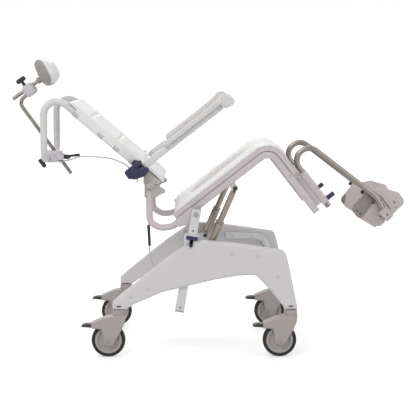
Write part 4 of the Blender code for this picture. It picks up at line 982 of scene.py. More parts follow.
def base_details():
    """Plugs, slots and bolts of the panels, caps and holes of the columns, and the front tube; painted shade
    lies in the slots, the holes and the grooves round the plugs.
    """
    dome = [(0, 0.0008), (0.0044, 0.0007), (0.0053, 0.0001), (0.0054, -0.0008), (0, -0.0008)]
    corners = [(-0.0085, -0.0026), (0.0085, -0.0026), (0.0085, 0.0026), (-0.0085, 0.0026)]
    stopper = [(0, 0.0022), (0.0105, 0.0018), (0.0124, 0.0002), (0.0124, -0.0010), (0, -0.0010)]
    for tag, s in SIDES:
        plugs, groove_shades, slots = [], [], []
        for x, z in PLUGS:
            here = (x + X_SHIFT, s * PANEL_OUT, z)
            plugs.append(lathe(dome, here, (0, s, 0), 28))
            # Painted shade: a thin dark grey ring round each plug, in its groove
            sunk = (here[0], s * (PANEL_OUT - 0.0006), here[2])
            groove_shades.append(ring(sunk, (0, s, 0), 0.0052, 0.0062, 0.00075, 28))
        # Painted shade: flat near-black sheets in the slots where the castor stems pass
        for x in (-STEM_X, STEM_X):
            oval = [(x + X_SHIFT + a, 0.191 + b) for a, b in fillet(corners, 0.0024, step=20)]
            slots.append(extrude(oval, s * (PANEL_OUT - 0.0022), s * (PANEL_OUT + 0.0002), 0.0003))
        piece(f"cover_plugs_{tag}", plugs, "plug", "base")
        piece(f"plug_groove_shade_{tag}", groove_shades, "line", "base")
        piece(f"stem_slot_shade_{tag}", slots, "hole_shade", "base")
        bolts = []
        for x, z in ((0.120, 0.3835), (0.200, 0.3790), (0.262, 0.310)):
            bolts.append(screw_head((x + X_SHIFT, s * (PANEL_IN - 0.0265), z), (0, -s, 0), 0.0058, 0.0028))
        piece(f"frame_bolts_{tag}", bolts, "zinc", "base")
        y_mid = s * (PANEL_IN + 0.013)
        cap = box(at(column(-0.0012), y_mid), (0.0335, 0.0265, 0.0034), COLUMN_AXES, 0.001)
        top = box(at(column(COLUMN_LEN + 0.0006), y_mid), (0.0325, 0.0255, 0.0030), COLUMN_AXES, 0.0012)
        piece(f"column_caps_{tag}", [cap, top], "grey", "carriage")
        liners = []
        for up in (CLIP_AT + 0.025, 0.014):
            here = column(up)
            liners.append(ring(at(here, s * (PANEL_IN + 0.0248)), (0, s, 0), 0.0036, 0.0054, 0.0010, 28))
        piece(f"hole_liners_{tag}", liners, "grey", "carriage")
        # Painted shade: near-black discs at the floor of each column hole
        hole_shades = []
        for up in (0.014, CLIP_AT + 0.025):
            here = column(up)
            hole_shades.append(rod(at(here, s * (PANEL_IN + 0.0180)), at(here, s * (PANEL_IN + 0.0205)), 0.0034))
        piece(f"hole_floor_shade_{tag}", hole_shades, "hole_shade", "carriage")
        hub = at(TILT_AXIS, 0) + Vector((X_SHIFT, 0, 0))
        cap = screw_head(hub + ACROSS * s * 0.2571, (0, s, 0), 0.0095, 0.0035, recess=False)
        piece(f"tilt_cap_{tag}", cap, "grey", "carriage")
        stem_at = at(column(CLIP_AT - 0.018), s * (PANEL_OUT + 0.0033))
        stem = box(stem_at, (0.013, 0.0054, 0.030), COLUMN_AXES, 0.0015)
        piece(f"clip_stem_{tag}", stem, "navy", f"clip_{tag}")
    front_x, low_z, bend = 0.264 + X_SHIFT, 0.280, 0.045
    tube_y = PANEL_IN - 0.0003 - 0.013
    side = fillet(
        [(0.092 + X_SHIFT, 0.384), (front_x, 0.375), (front_x, low_z)], [0, 0.052, 0], closed=False, step=6
    )
    near = [Vector((x, -tube_y, z)) for x, z in side]
    for k in range(1, 13):
        a = math.radians(90 * k / 12)
        near.append(Vector((front_x, -tube_y + bend * (1 - math.cos(a)), low_z - bend * math.sin(a))))
    path = mirrored(near)
    piece(
        "front_frame_form", tube(path, 0.013, 32), "frame_paint", "base", replaces=["front_frame"],
    )
    ends = []
    for s in (-1, 1):
        ends.append(lathe(stopper, (0.092 + X_SHIFT, s * tube_y, 0.384), (-1, 0, 0.05), 32))
    piece("front_frame_plugs", ends, "grey", "base")


# Seat, struts and tilt gear


def ribbon(outer_r, back_off, thick, u_rear, w_end):
    """The side of a seat rail: along the seat, over the knee and down the leg."""
    top, front = SEAT_TOP - back_off, LEG_FRONT - back_off
    upper = fillet([(u_rear, top), (front, top), (front, w_end)], [0, outer_r, 0], closed=False, step=5)
    inner = [(u_rear, top - thick), (front - thick, top - thick), (front - thick, w_end)]
    lower = fillet(inner, [0, max(outer_r - thick, 0.006), 0], closed=False, step=6)
    return upper + lower[::-1]


def seat_frame():
    """The welded seat frame: rails over the knee, cross bars, leg sockets, strut ears and rear loops."""
    profile = seat_all(ribbon(KNEE_R - PAD_T, PAD_T + 0.0003, RAIL_T, SEAT_REAR + 0.004, LEG_END))
    leg_u = LEG_FRONT - PAD_T - RAIL_T / 2
    parts = [rod(seat_at(u, BAR_W, -0.200), seat_at(u, BAR_W, 0.200), 0.011, 32) for u in (-0.040, 0.318)]
    for w in (-0.160, -0.250):
        parts.append(box(seat_at(leg_u, w, 0), (0.020, 0.395, 0.022), SEAT_AXES, 0.003, 3))
    under = SEAT_TOP - PAD_T - RAIL_T + 0.004
    lug = [(0.157, under), (0.159, -0.026), (0.181, -0.026), (0.183, under)]
    lug = seat_all(fillet(lug, 0.008, step=12))
    plate = [
        (-0.086, 0.010), (-0.070, 0.0292), (0.004, 0.0292), (0.019, 0.012), (0.016, -0.012), (-0.006, -0.018),
        (-0.048, -0.015), (-0.080, -0.002)
    ]
    plate = seat_all(fillet(plate, 0.008, step=12))
    loop = [seat(-0.050, BAR_W - 0.001)] + moved(
        [(-0.118, 0.479), (-0.165, 0.473), (-0.2045, 0.495), (-0.2065, 0.612)]
    )
    loop = fillet(loop, [0, 0.05, 0.05, 0.045, 0], closed=False, step=5)
    for tag, s in SIDES:
        parts.append(extrude(profile, s * 0.190, s * 0.220, 0.0045))
        mid = (-0.128 + LEG_END) / 2
        parts.append(box(seat_at(HOOK_U, mid, s * HANGER_Y), (0.027, 0.027, 0.144), SEAT_AXES, 0.003, 3))
        web = seat_at((leg_u + HOOK_U) / 2, mid + 0.002, s * HANGER_Y)
        parts.append(box(web, (HOOK_U - leg_u, 0.02, 0.128), SEAT_AXES, 0.002))
        for y in (STRUT_Y - 0.0073 - 0.0045, STRUT_Y + 0.0073):
            parts.append(extrude(lug, s * y, s * (y + 0.0045), 0.0006))
        parts.append(rod(seat_at(*STRUT_HEAD, s * 0.1917), seat_at(*STRUT_HEAD, s * 0.2183), 0.0045, 20))
        parts.append(extrude(plate, s * 0.216, s * 0.2285, 0.0015))
        parts.append(tube([at(p, s * BACK_Y) for p in loop], 0.0125, 36))
    skirts, piping = [], []
    for tag, s in SIDES:
        side = ribbon(KNEE_R - PAD_T + 0.0180, PAD_T - 0.0180, 0.0178, SEAT_REAR + 0.004, PAD_END + 0.004)
        skirts.append(extrude(seat_all(side), s * 0.2135, s * 0.2236, 0.0010))
        line = ribbon(KNEE_R - PAD_T + 0.0205, PAD_T - 0.0205, 0.0028, SEAT_REAR + 0.003, PAD_END + 0.003)
        piping.append(extrude(seat_all(line), s * 0.2135, s * 0.2250, 0.0009))
    # The skirt and the seat frame take painted shade: the white paint darkened and tinted pink, as their
    # sides lie in shade; the piping keeps the plain white paint
    piece("cushion_skirt", skirts, "shaded_rail", "seat")
    piece("cushion_piping", piping, "frame_paint", "seat")
    piece("seat_frame_form", parts, "shaded_rail", "seat", replaces=["seat_frame"])


def seat_details():
    """Fasteners, washers and collars of the seat, the tilt gear and the leg sockets."""
    for tag, s in SIDES:
        fasteners = []
        for u, w in ((0.356, -0.105), (0.356, -0.225)):
            fasteners.append(screw_head(seat_at(u, w, s * 0.2199), (0, s, 0), 0.0042, 0.0018))
        for u in (0.030, 0.262):
            fasteners.append(screw_head(seat_at(u, BAR_W, s * 0.2199), (0, s, 0), 0.0030, 0.0008))
        fasteners.append(screw_head(seat_at(0.412, -0.205, s * 0.1784), (0, s, 0), 0.0045, 0.0030))
        piece(f"seat_screws_{tag}", fasteners, "zinc", "seat")
        hub = at(TILT_AXIS, 0) + Vector((X_SHIFT, 0, 0))
        washer = ring(hub + ACROSS * s * 0.2284, (0, s, 0), 0.0084, 0.0125, 0.0018)
        piece(f"tilt_washer_{tag}", washer, "zinc", "seat")
        wide = [
            screw_head(seat_at(*STRUT_HEAD, s * (STRUT_Y + g * 0.0148)), (0, s * g, 0), 0.0078, 0.0040)
            for g in (-1, 1)
        ]
        lower = seat(STRUT_HEAD[0] - 0.010, STRUT_HEAD[1] - 0.008)
        wide.append(screw_head(at(lower, s * 0.2170), (0, s, 0), 0.0040, 0.0020))
        piece(f"strut_head_bolts_{tag}", wide, "black", "seat")
        foot = (STRUT_FOOT[0] + X_SHIFT, STRUT_FOOT[1])
        bolts = [
            screw_head(at(foot, s * (STRUT_Y + g * 0.0135)), (0, s * g, 0), 0.0075, 0.0035) for g in (-1, 1)
        ]
        piece(f"strut_foot_bolts_{tag}", bolts, "black", "carriage")
        low, high = at(foot, s * STRUT_Y), seat_at(*STRUT_HEAD, s * STRUT_Y)
        way = (high - low).normalized()
        collars = [
            ring(low + way * 0.1180, way, 0.0115, 0.0162, 0.0075),
            ring(low + way * 0.0170, way, 0.0100, 0.0160, 0.0045),
        ]
        piece(f"strut_collars_{tag}", collars, "gas_spring", f"strut_{tag}")
        bands = [ring(high - way * d, way, 0.0050, 0.0104, 0.0040) for d in (0.0205, 0.0300)]
        piece(f"strut_bands_{tag}", bands, "gas_spring", f"strut_rod_{tag}")
        mouth = ring(seat_at(HOOK_U, -0.1282, s * HANGER_Y), SEAT_W, 0.0122, 0.0134, 0.0016)
        foot_end = ring(seat_at(HOOK_U, -0.2722, s * HANGER_Y), -SEAT_W, 0.0122, 0.0132, 0.0016)
        piece(f"socket_trim_{tag}", [mouth, foot_end], "grey", "seat")
    lip = []
    for u, y in ((0.018, 0.150), (0.018, -0.150), (0.282, 0.150), (0.282, -0.150)):
        lip.append(box(seat_at(u, SEAT_TOP - PAD_T - 0.0030, y), (0.050, 0.026, 0.0052), SEAT_AXES, 0.0015))
        lip.append(screw_head(seat_at(u, SEAT_TOP - PAD_T - 0.0055, y), -SEAT_W, 0.0045, 0.0020))
    piece("cushion_clips", lip, "grey", "seat")


# Leg hangers and foot plates


def hanger_line():
    """The middle line of a leg hanger on the seat, from its tail over the hook to the foot."""
    hook, drop, radius, end = HOOK_U, -0.108, 0.045, 19.0
    points = [(hook, -0.290), (hook, drop)]
    for k in range(1, 25):
        a = math.radians(180 - (180 - end) * k / 24)
        points.append((hook + radius + radius * math.cos(a), drop + radius * math.sin(a)))
    low = fillet([points[-1], (0.5635, -0.3690), (0.5530, -0.4570)], [0, 0.05, 0], closed=False, step=5)
    return points + low[1:]


def foot_axis(s):
    """A place on the foot plate's hinge, s beyond its inner end, on the seat."""
    a = math.radians(FOOT_HINGE_DEG)
    return (FOOT_HINGE_AT[0] + s * math.cos(a), FOOT_HINGE_AT[1] + s * math.sin(a))


def foot_rests():
    """Hangers, brackets, foot plates and the navy knobs that clamp the hangers."""
    outline = [
        (0.4610, -0.3830), (0.4930, -0.4680), (0.6430, -0.4500), (0.6440, -0.4150), (0.6080, -0.3660),
        (0.5450, -0.3320), (0.5050, -0.3390)
    ]
    shape = fillet(seat_all(outline), [0.012, 0.004, 0.004, 0.014, 0.02, 0.03, 0.03], step=8)
    arm = [
        (0.5620, -0.3500), (0.5590, -0.3880), (0.5380, -0.3840), (0.4780, -0.4035), (0.4640, -0.3960),
        (0.4630, -0.3600), (0.4760, -0.3480), (0.5320, -0.3420)
    ]
    arm = fillet(seat_all(arm), 0.007, step=10)
    for tag, s in SIDES:
        y = s * HANGER_Y
        hanger = f"hanger_{tag}"
        path = [seat_at(u, w, y) for u, w in hanger_line()]
        piece(f"hanger_tube_{tag}", tube(path, 0.011, 36), "steel", hanger, replaces=[hanger])
        end = lathe(
            [(0, 0.0020), (0.0080, 0.0016), (0.0098, 0.0002), (0.0098, -0.001), (0, -0.001)], path[0],
            -SEAT_W, 28
        )
        piece(f"hanger_plug_{tag}", end, "black", hanger)
        piece(f"foot_arm_{tag}", extrude(arm, s * 0.1478, s * 0.1512, 0.0008), "bracket", hanger)
        # A short black rod between the tube and the plate, where a dark spot lies
        dark_spot_at = (0.590 + X_SHIFT, 0.602)
        piece(
            f"foot_dark_spot_{tag}", rod(at(dark_spot_at, s * 0.1478), at(dark_spot_at, s * 0.1560), 0.0070), "black",
            hanger
        )
        screws = [screw_head(at((0.6268 + X_SHIFT, 0.5640), s * 0.1755), (0, s, 0), 0.0048, 0.0022)]
        for u, w in ((0.478, -0.372), (0.479, -0.389), (0.5570, -0.4475)):
            screws.append(
                screw_head(seat_at(u, w, s * (0.1511 if u < 0.5 else 0.1819)), (0, s, 0), 0.0032, 0.0014)
            )
        piece(f"foot_screws_{tag}", screws, "black", hanger)

        board = f"foot_{tag}"
        tread = [extrude(shape, s * FOOT_Y - 0.006, s * FOOT_Y + 0.006, 0.0030)]
        for k0, k1 in ((0.010, 0.0360), (0.0745, 0.100), (0.102, 0.134)):
            near_end, far_end = foot_axis(k0), foot_axis(k1)
            tread.append(
                rod(seat_at(*near_end, s * FOOT_Y), seat_at(*far_end, s * FOOT_Y), 0.00925, 32, 0.0012)
            )
        piece(f"foot_plate_form_{tag}", tread, "foot", board, replaces=[f"foot_plate_{tag}"])
        # Painted shade: near-black strips in the slots of the foot plate
        groove_shades = []
        for u, w, long in (
            (0.5808, -0.4115, 0.066), (0.5675, -0.4235, 0.045), (0.6080, -0.4330, 0.012),
            (0.5350, -0.4440, 0.012)
        ):
            groove_shades.append(box(seat_at(u, w, s * 0.1459), (0.0030, 0.0006, long), SEAT_AXES, 0.0002, 1))
        piece(f"foot_slot_shade_{tag}", groove_shades, "hole_shade", board)
        ridges = []
        for k in range(9):
            u = 0.502 + 0.0145 * k
            low_w, high_w = -0.452 + 0.0017 * k, -0.362 - 0.004 * abs(k - 3)
            mid, long = (low_w + high_w) / 2, high_w - low_w
            ridges.append(box(seat_at(u, mid, s * 0.1338), (0.0042, 0.0022, long), SEAT_AXES, 0.0009))
        piece(f"foot_ridges_{tag}", ridges, "foot", board)

        grip_at = seat_at(HOOK_U + RAIL_T / 2 + 0.0003, -0.262, y)
        body = [
            (0, 0), (0.0096, 0), (0.0100, 0.0010), (0.0100, 0.0060), (0.0088, 0.0078), (0.0080, 0.0090),
            (0.0078, 0.0220), (0.0086, 0.0260), (0.0086, 0.0300), (0.0070, 0.0322), (0, 0.0326)
        ]
        parts = [lathe(body, grip_at, SEAT_U, 32)]
        for k in range(8):
            a = 2 * math.pi * k / 8
            way = ACROSS * math.cos(a) + SEAT_W * math.sin(a)
            low, high = grip_at + SEAT_U * 0.0085 + way * 0.0076, grip_at + SEAT_U * 0.0300 + way * 0.0076
            parts.append(rod(low, high, 0.0014, 10, 0.0004))
        piece(
            f"foot_knob_form_{tag}", parts, "navy", f"foot_knob_{tag}", replaces=[f"foot_knob_{tag}"],
        )


# Back, arms and head rest


def back_details():
    """The back frame with its push bar, the recline hinge and the arm locks."""
    corner = (HANDLE_X + X_SHIFT, (BACK_OFFSET + BACK_RISE * -HANDLE_X) / BACK_RUN)
    bend = 0.045
    profile = fillet(
        [back(0.545), corner, (HANDLE_X + X_SHIFT, BAR_Z + bend)], [0, 0.058, 0], closed=False, step=6
    )
    near = [Vector((x, -BACK_Y, z)) for x, z in profile]
    for k in range(1, 13):
        a = math.radians(90 * k / 12)
        across, above = bend * (1 - math.cos(a)), bend * (1 - math.sin(a))
        near.append(Vector((HANDLE_X + X_SHIFT, -BACK_Y + across, BAR_Z + above)))
    path = mirrored(near)
    parts = [tube(path, 0.0125, 36)]
    for t in (0.60, 0.88):
        parts.append(rod(back_at(t, -0.001, -0.2005), back_at(t, -0.001, 0.2005), 0.008, 28))
    hinge_x, hinge_z = RECLINE_AXIS
    ear = moved([(hinge_x - 0.010, hinge_z - 0.014), (hinge_x + 0.014, hinge_z - 0.012)])
    ear += [back(0.551, -0.008), back(0.551, 0.008), back(0.620, 0.008)]
    ear += moved([(hinge_x - 0.020, hinge_z + 0.010)])
    ear = fillet(ear, 0.008, step=10)
    for tag, s in SIDES:
        plates = extrude(ear, s * 0.2155, s * 0.2240, 0.0015)
        piece(f"recline_ear_{tag}", plates, "warm_grey", "back")
        for t in (0.60, 0.88):
            parts.append(ring(back_at(t, -0.001, s * 0.1905), (0, s, 0), 0.0078, 0.0100, 0.0040))
    piece("back_frame_form", parts, "frame_paint", "back", replaces=["back_frame"])
    pivot = (RECLINE_AXIS[0] + X_SHIFT, RECLINE_AXIS[1])
    for tag, s in SIDES:
        bolt = screw_head(at(pivot, s * 0.2241), (0, s, 0), 0.0085, 0.0032)
        piece(f"recline_bolt_{tag}", bolt, "zinc", "back")
        heads = []
        for x, z in ((-0.168, 0.6075), (-0.2120, 0.6010)):
            heads.append(screw_head(at((x + X_SHIFT, z), s * 0.1884), (0, -s, 0), 0.0040, 0.0018))
        piece(f"bracket_screws_{tag}", heads, "zinc", "seat")
        lock(tag, s)
    straps()


def lock(tag, s):
    """The lock of the armrest: a boat-shaped body with a pale notch below its raised finger."""
    outline = [
        (-0.2945, 0.6840), (-0.2880, 0.6905), (-0.2630, 0.7105), (-0.2390, 0.7280), (-0.2300, 0.7195),
        (-0.2500, 0.6935), (-0.2270, 0.7045), (-0.2110, 0.7030), (-0.2035, 0.6915), (-0.2215, 0.6700),
        (-0.2560, 0.6585), (-0.2800, 0.6630)
    ]
    radii = [0.006, 0.006, 0.02, 0.005, 0.004, 0.002, 0.008, 0.008, 0.008, 0.02, 0.02, 0.010]
    shape = fillet(moved(outline), radii, step=10)
    arm_in, arm_out = 0.2372, 0.2628
    outer = extrude(shape, s * arm_out, s * (arm_out + 0.0078), 0.0022)
    inner = extrude(shape, s * 0.2256, s * arm_in, 0.0014)
    tail = fillet(
        moved(
            [(-0.2935, 0.6835), (-0.2780, 0.6990), (-0.2520, 0.6880), (-0.2480, 0.6600), (-0.2780, 0.6600)]
        ),
        0.005, step=12
    )
    bridge = extrude(tail, s * 0.2262, s * (arm_out + 0.0040), 0.001)
    shoe = [back(0.628, -0.008), back(0.628, 0.010), back(0.668, 0.010), back(0.668, -0.008)]
    heel = extrude(shoe, s * 0.2183, s * 0.2262, 0.0008)
    pivot = seat(-0.030, ARM_W)
    piece(f"arm_pin_{tag}", rod(at(pivot, s * 0.2350), at(pivot, s * 0.2627), 0.0053), "plug", "back")
    piece(f"arm_lock_form_{tag}", [outer, inner, bridge, heel], "navy", "back", sharp=28,
          replaces=[f"arm_lock_{tag}"])


def wrap_section(big, small):
    """The outline round a tube and the pad's rim, whose radii are given, as (n, y) from the tube's middle."""
    rim_n, rim_y = 0.0152, 0.0132
    turn = math.atan2(rim_y, rim_n)
    open_by = math.acos((big - small) / math.hypot(rim_n, rim_y))
    made = []
    for k in range(33):
        a = turn + open_by + (2 * math.pi - 2 * open_by) * k / 32
        made.append((big * math.cos(a), big * math.sin(a)))
    for k in range(9):
        a = turn - open_by + 2 * open_by * k / 8
        made.append((rim_n + small * math.cos(a), rim_y + small * math.sin(a)))
    return made


def straps():
    """The cover's side sleeves, and webbing behind the pad that is looped round both tubes and buckled."""
    own = (ACROSS, BACK_T, ACROSS.cross(BACK_T))
    for tag, s in SIDES:
        rings = []
        bm = bmesh.new()
        for k in range(33):
            f = k / 32
            soft = 1 - 0.10 * abs(2 * f - 1) ** 14
            loop = wrap_section(0.01345 * soft, 0.0026 * soft)
            t = 0.660 + 0.284 * f
            rings.append([bm.verts.new(back_at(t, n, s * (BACK_Y + y))) for n, y in loop])
        piece(f"cover_sleeve_{tag}", skin(bm, rings), "upholstery", "back")
    for n, t in enumerate((0.668, 0.744, 0.819, 0.936)):
        flat = [box(back_at(t, 0.0085, 0), (0.388, 0.0250, 0.0016), own, 0.0004)]
        for s in (-1, 1):
            flat.append(ring(back_at(t - 0.0125, 0, s * BACK_Y), BACK_T, 0.0134, 0.0143, 0.025, 40))
            flat.append(box(back_at(t, 0.0096, s * 0.150), (0.060, 0.0255, 0.0018), own, 0.0004))
            for k in range(4):
                stitch = back_at(t, 0.0074, s * (0.128 + 0.0022 * k))
                flat.append(box(stitch, (0.0009, 0.021, 0.0008), own, 0.0002, 1))
        piece(f"strap_{n}", flat, "webbing", "back")
        buckle = []
        here = back_at(t, 0.0055, 0.040)
        for d in (-0.0145, 0.0, 0.0145):
            buckle.append(box(here + ACROSS * d, (0.0042, 0.0320, 0.0040), own, 0.0010))
        for d in (-0.0150, 0.0150):
            buckle.append(box(here + BACK_T * d, (0.0330, 0.0036, 0.0040), own, 0.0010))
        piece(f"buckle_{n}", buckle, "black", "back")


def head_details():
    """The two rods of the head rest, and the screws of their clamps with painted shade along their seams."""
    low, bend, tip = (-0.513, 0.656), (-0.709, 0.930), (-0.6709, 0.9633)
    route = fillet(moved([low, bend, tip]), [0, 0.042, 0], closed=False, step=5)
    bar = tube([at(p, 0) for p in route], ROD_R, 28)
    piece("head_rod_form", bar, "steel", "head_stem", replaces=["head_rod"])
    tail, head = moved([(-0.731, 0.941), (-0.628, 1.014)])
    bar = rod(at(tail, 0), at(head, 0), ROD_R, 28, 0.0015)
    piece("pad_rod_form", bar, "steel", "head_pad", replaces=["pad_rod"])
    arm = (at(head, 0) - at(tail, 0)).normalized()
    cross = Vector((-arm.z, 0, arm.x))
    joint = at(tail, 0) + arm * 0.073 - cross * 0.008
    screws = []
    for s in (-1, 1):
        for d, c in ((0.013, 0.013), (-0.013, -0.013)):
            screws.append(
                screw_head(joint + arm * d + cross * c + ACROSS * s * 0.0199, (0, s, 0), 0.0038, 0.0018)
            )
    piece("joint_screws", screws, "zinc", "head_stem")
    # Painted shade: a thin dark grey band along the seam of the joint
    seam_shade = box(joint - cross * 0.006, (0.0486, 0.0406, 0.0008), (arm, ACROSS, arm.cross(ACROSS)), 0.0002, 1)
    piece("joint_seam_shade", seam_shade, "line", "head_stem")
    screws = []
    for x, z, y in ((-0.605, 0.738, 0.0231), (-0.605, 0.712, 0.0231), (-0.552, 0.738, 0.0231)):
        for s in (-1, 1):
            screws.append(screw_head((x + X_SHIFT, s * y, z), (0, s, 0), 0.0036, 0.0018))
    piece("clamp_screws", screws, "zinc", "back")
    mount = middle("lever_mount")
    screws = []
    for dx, dz in ((-0.030, 0.011), (-0.030, -0.011), (0.004, 0.0)):
        screws.append(
            screw_head((mount.x + dx, mount.y - 0.0169, mount.z + dz), (0, -1, 0), 0.0034, 0.0016)
        )
    piece("mount_screws", screws, "zinc", "back")
    head_shell()


def head_shell():
    """The shell behind the head foam, with the boss for its rod."""
    rows, cols = 33, 45
    ups, lows = [], []
    for i in range(rows):
        f = -math.cos(math.pi * i / (rows - 1))
        a, b = [], []
        for k in range(cols):
            g = -math.cos(math.pi * k / (cols - 1))
            v = f * 0.052 * math.sqrt(1 - 0.86 * abs(g) ** 5)
            wrap = HEAD_WRAP * g * g
            deep = 0.004 + 0.020 * math.sqrt(max(0.0, (1 - f ** 4) * (1 - g ** 4)))
            for n, into in ((0.0, a), (-deep, b)):
                p = HEAD_CENTRE + HEAD_FACE * (n + wrap) + HEAD_TALL * v
                into.append(Vector((p.x + X_SHIFT, g * HEAD_HALF, p.y)))
        ups.append(a)
        lows.append(b)
    socket = Vector((-0.628 + X_SHIFT, 0, 1.014))
    way = Vector((HEAD_FACE.x, 0, HEAD_FACE.y))
    profile = [
        (0.0080, 0.0), (0.0112, 0.0), (0.0120, 0.0010), (0.0122, 0.0140), (0.0150, 0.0220), (0.0080, 0.0220)
    ]
    boss = lathe(profile, socket - way * 0.0100, way, 36)
    piece(
        "head_shell_form", [slab(ups, lows), boss], "shell", "head_pad", sharp=50, replaces=["head_shell"],
    )
    holes = []
    for s in (-1, 1):
        spot = Vector((HEAD_CENTRE.x + X_SHIFT, s * 0.045, HEAD_CENTRE.y)) - way * 0.0205
        holes.append(screw_head(spot, -way, 0.0046, 0.0020))
    piece("shell_screws", holes, "zinc", "head_pad")


def cables():
    """The release cable: its upper length on the back, its lower length on the seat."""
    y = -0.105
    start = (HANDLE_X + 0.040 + 0.0003, y, 0.7108)
    knots = [
        start, (-0.515, y - 0.003, 0.7150), (-0.455, -0.125, 0.7320), (-0.371, -0.152, 0.7290),
        (-0.334, -0.160, 0.7220), (-0.297, -0.170, 0.7060), (-0.266, -0.175, 0.6780), (-0.248, -0.176, 0.6400)
    ]
    run = [p + Vector((X_SHIFT, 0, 0)) for p in smooth_path(knots, 8)]
    parts = [tube(run, CABLE_R, 16)]
    way = (run[3] - run[0]).normalized()
    boot = [
        (0.0027, 0.0), (0.0043, 0.0), (0.0046, 0.0010), (0.0044, 0.0100), (0.0034, 0.0150), (0.0027, 0.0160)
    ]
    parts.append(lathe(boot, run[0], way, 24))
    piece("cable_upper_form", parts, "cable", "back", replaces=["cable_upper"])
    knots = [
        (-0.2100, -0.1879, 0.603), (-0.2102, -0.1850, 0.603), (-0.2115, -0.1800, 0.601),
        (-0.2140, -0.1760, 0.594), (-0.2165, -0.172, 0.570), (-0.2150, -0.168, 0.530),
        (-0.2105, -0.160, 0.480), (-0.2075, -0.152, 0.430), (-0.2060, -0.150, 0.372),
        (-0.1940, -0.150, 0.330), (-0.1680, -0.150, 0.313), (-0.1420, -0.150, 0.324)
    ]
    run = [p + Vector((X_SHIFT, 0, 0)) for p in smooth_path(knots, 8)]
    piece("cable_lower_form", tube(run, CABLE_R, 16), "cable", "seat", replaces=["cable_lower"])
    a, b = Vector((-0.2104 + X_SHIFT, -0.1594, 0.478)), Vector((-0.2067 + X_SHIFT, -0.1505, 0.398))
    sleeve = [rod(a, b, 0.0056, 24, 0.0012)]
    for k in range(4):
        spot = a + (b - a) * (0.08 + 0.035 * k)
        sleeve.append(ring(spot, b - a, 0.0050, 0.0061, 0.0014, 24))
    piece("cable_sleeve", sleeve, "black", "seat")


# Stage, light and camera


def stage():
    """A floor that looks white and keeps the soft shadow of the chair."""
    made, tree, surface = nodes_of("floor_paint")
    link = tree.links.new
    output = tree.nodes["Material Output"]
    surface.inputs["Base Color"].default_value = (0.80, 0.80, 0.80, 1.0)
    surface.inputs["Roughness"].default_value = 0.9
    path = add_node(tree, "ShaderNodeLightPath")
    glow = add_node(tree, "ShaderNodeEmission", Color=WHITE, Strength=1.0)
    grain = add_node(tree, "ShaderNodeTexNoise", Scale=60.0, Detail=3.0)
    bump = add_node(tree, "ShaderNodeBump", Strength=0.02)
    link(grain.outputs["Fac"], bump.inputs["Height"])
    link(bump.outputs["Normal"], surface.inputs["Normal"])
    seen = add_node(tree, "ShaderNodeMath", operation="MAXIMUM")
    link(path.outputs["Is Glossy Ray"], seen.inputs[0])
    link(path.outputs["Is Transmission Ray"], seen.inputs[1])
    mix = add_node(tree, "ShaderNodeMixShader")
    link(seen.outputs[0], mix.inputs[0])
    link(surface.outputs[0], mix.inputs[1])
    link(glow.outputs[0], mix.inputs[2])
    # What the eye sees of the floor is its shading raised to white, less where the chair keeps light off it
    lift = add_node(tree, "ShaderNodeAddShader")
    seen_by_eye = add_node(tree, "ShaderNodeMixShader")
    base_glow = add_node(tree, "ShaderNodeEmission", Color=WHITE)
    where = add_node(tree, "ShaderNodeTexCoord")
    far = add_node(tree, "ShaderNodeVectorMath", operation="LENGTH")
    link(where.outputs["Object"], far.inputs[0])
    link(ranged(tree, far.outputs["Value"], 0.405, 0.72, 0.9, 2.6), base_glow.inputs["Strength"])
    link(surface.outputs[0], lift.inputs[0])
    link(base_glow.outputs[0], lift.inputs[1])
    link(path.outputs["Is Camera Ray"], seen_by_eye.inputs[0])
    link(mix.outputs[0], seen_by_eye.inputs[1])
    link(lift.outputs[0], seen_by_eye.inputs[2])
    link(seen_by_eye.outputs[0], output.inputs["Surface"])
    bm = bmesh.new()
    radius = 14.0
    turns = [2 * math.pi * k / 96 for k in range(96)]
    bm.faces.new([bm.verts.new((radius * math.cos(a), radius * math.sin(a), 0)) for a in turns])
    mesh = bpy.data.meshes.new("studio_floor")
    bm.to_mesh(mesh)
    bm.free()
    floor = bpy.data.objects.new("studio_floor", mesh)
    bpy.context.scene.collection.objects.link(floor)
    mesh.materials.append(made)


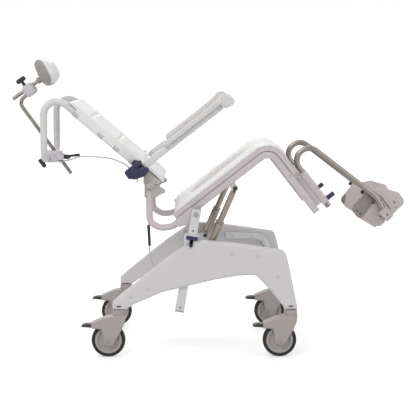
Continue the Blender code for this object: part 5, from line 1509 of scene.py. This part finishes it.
def world():
    """Plain light from all round, and a white background for the camera and for reflections."""
    scene = bpy.context.scene
    made = bpy.data.worlds.new("studio")
    scene.world = made
    made.use_nodes = True
    tree = made.node_tree
    link = tree.links.new
    plain = tree.nodes["Background"]
    plain.inputs["Color"].default_value = WHITE
    plain.inputs["Strength"].default_value = 0.54
    white = add_node(tree, "ShaderNodeBackground", Color=WHITE, Strength=1.0)
    path = add_node(tree, "ShaderNodeLightPath")
    first = add_node(tree, "ShaderNodeMath", operation="MAXIMUM")
    second = add_node(tree, "ShaderNodeMath", operation="MAXIMUM")
    link(path.outputs["Is Camera Ray"], first.inputs[0])
    link(path.outputs["Is Glossy Ray"], first.inputs[1])
    link(first.outputs[0], second.inputs[0])
    link(path.outputs["Is Transmission Ray"], second.inputs[1])
    mix = add_node(tree, "ShaderNodeMixShader")
    link(second.outputs[0], mix.inputs[0])
    link(plain.outputs[0], mix.inputs[1])
    link(white.outputs[0], mix.inputs[2])
    link(mix.outputs[0], tree.nodes["World Output"].inputs["Surface"])


def lamp(name, place, target, size, power):
    data = bpy.data.lights.new(name, "AREA")
    data.shape = "RECTANGLE"
    data.size, data.size_y = size
    data.energy = power
    obj = bpy.data.objects.new(name, data)
    bpy.context.scene.collection.objects.link(obj)
    way = Vector(target) - Vector(place)
    obj.location = place
    obj.rotation_euler = way.to_track_quat("-Z", "Y").to_euler()


def camera():
    """The camera that was fitted to the photograph."""
    data = bpy.data.cameras.new("camera")
    data.lens = 95.43
    data.sensor_width = 36
    obj = bpy.data.objects.new("camera", data)
    bpy.context.scene.collection.objects.link(obj)
    yaw, pitch, roll = math.radians(1.183), math.radians(7.14), math.radians(0.172)
    ahead = Vector((math.sin(yaw) * math.cos(pitch), math.cos(yaw) * math.cos(pitch), -math.sin(pitch)))
    right = Vector((math.cos(yaw), -math.sin(yaw), 0))
    up = right.cross(ahead)
    across = right * math.cos(roll) + up * math.sin(roll)
    over = up * math.cos(roll) - right * math.sin(roll)
    turn = Matrix((across, over, -ahead)).transposed().to_4x4()
    obj.matrix_world = Matrix.Translation((-0.0742 + X_SHIFT, -4.2351, 1.0545)) @ turn
    bpy.context.scene.camera = obj


def main():
    camera()
    dress_frame()
    seat_cushion()
    back_pad()
    arm_pads()
    head_pad()
    casters()
    base_details()
    seat_frame()
    seat_details()
    foot_rests()
    back_details()
    head_details()
    cables()
    stage()
    world()
    lamp("key", (-1.6, -2.6, 3.2), (0, 0, 0.5), (2.6, 2.0), 50)
    lamp("fill", (2.8, -1.6, 1.8), (0, 0, 0.5), (2.0, 2.0), 16)
    lamp("back", (-0.6, 2.8, 2.8), (0, 0, 0.6), (2.4, 1.6), 42)
    bpy.context.scene.view_settings.view_transform = "Standard"


main()
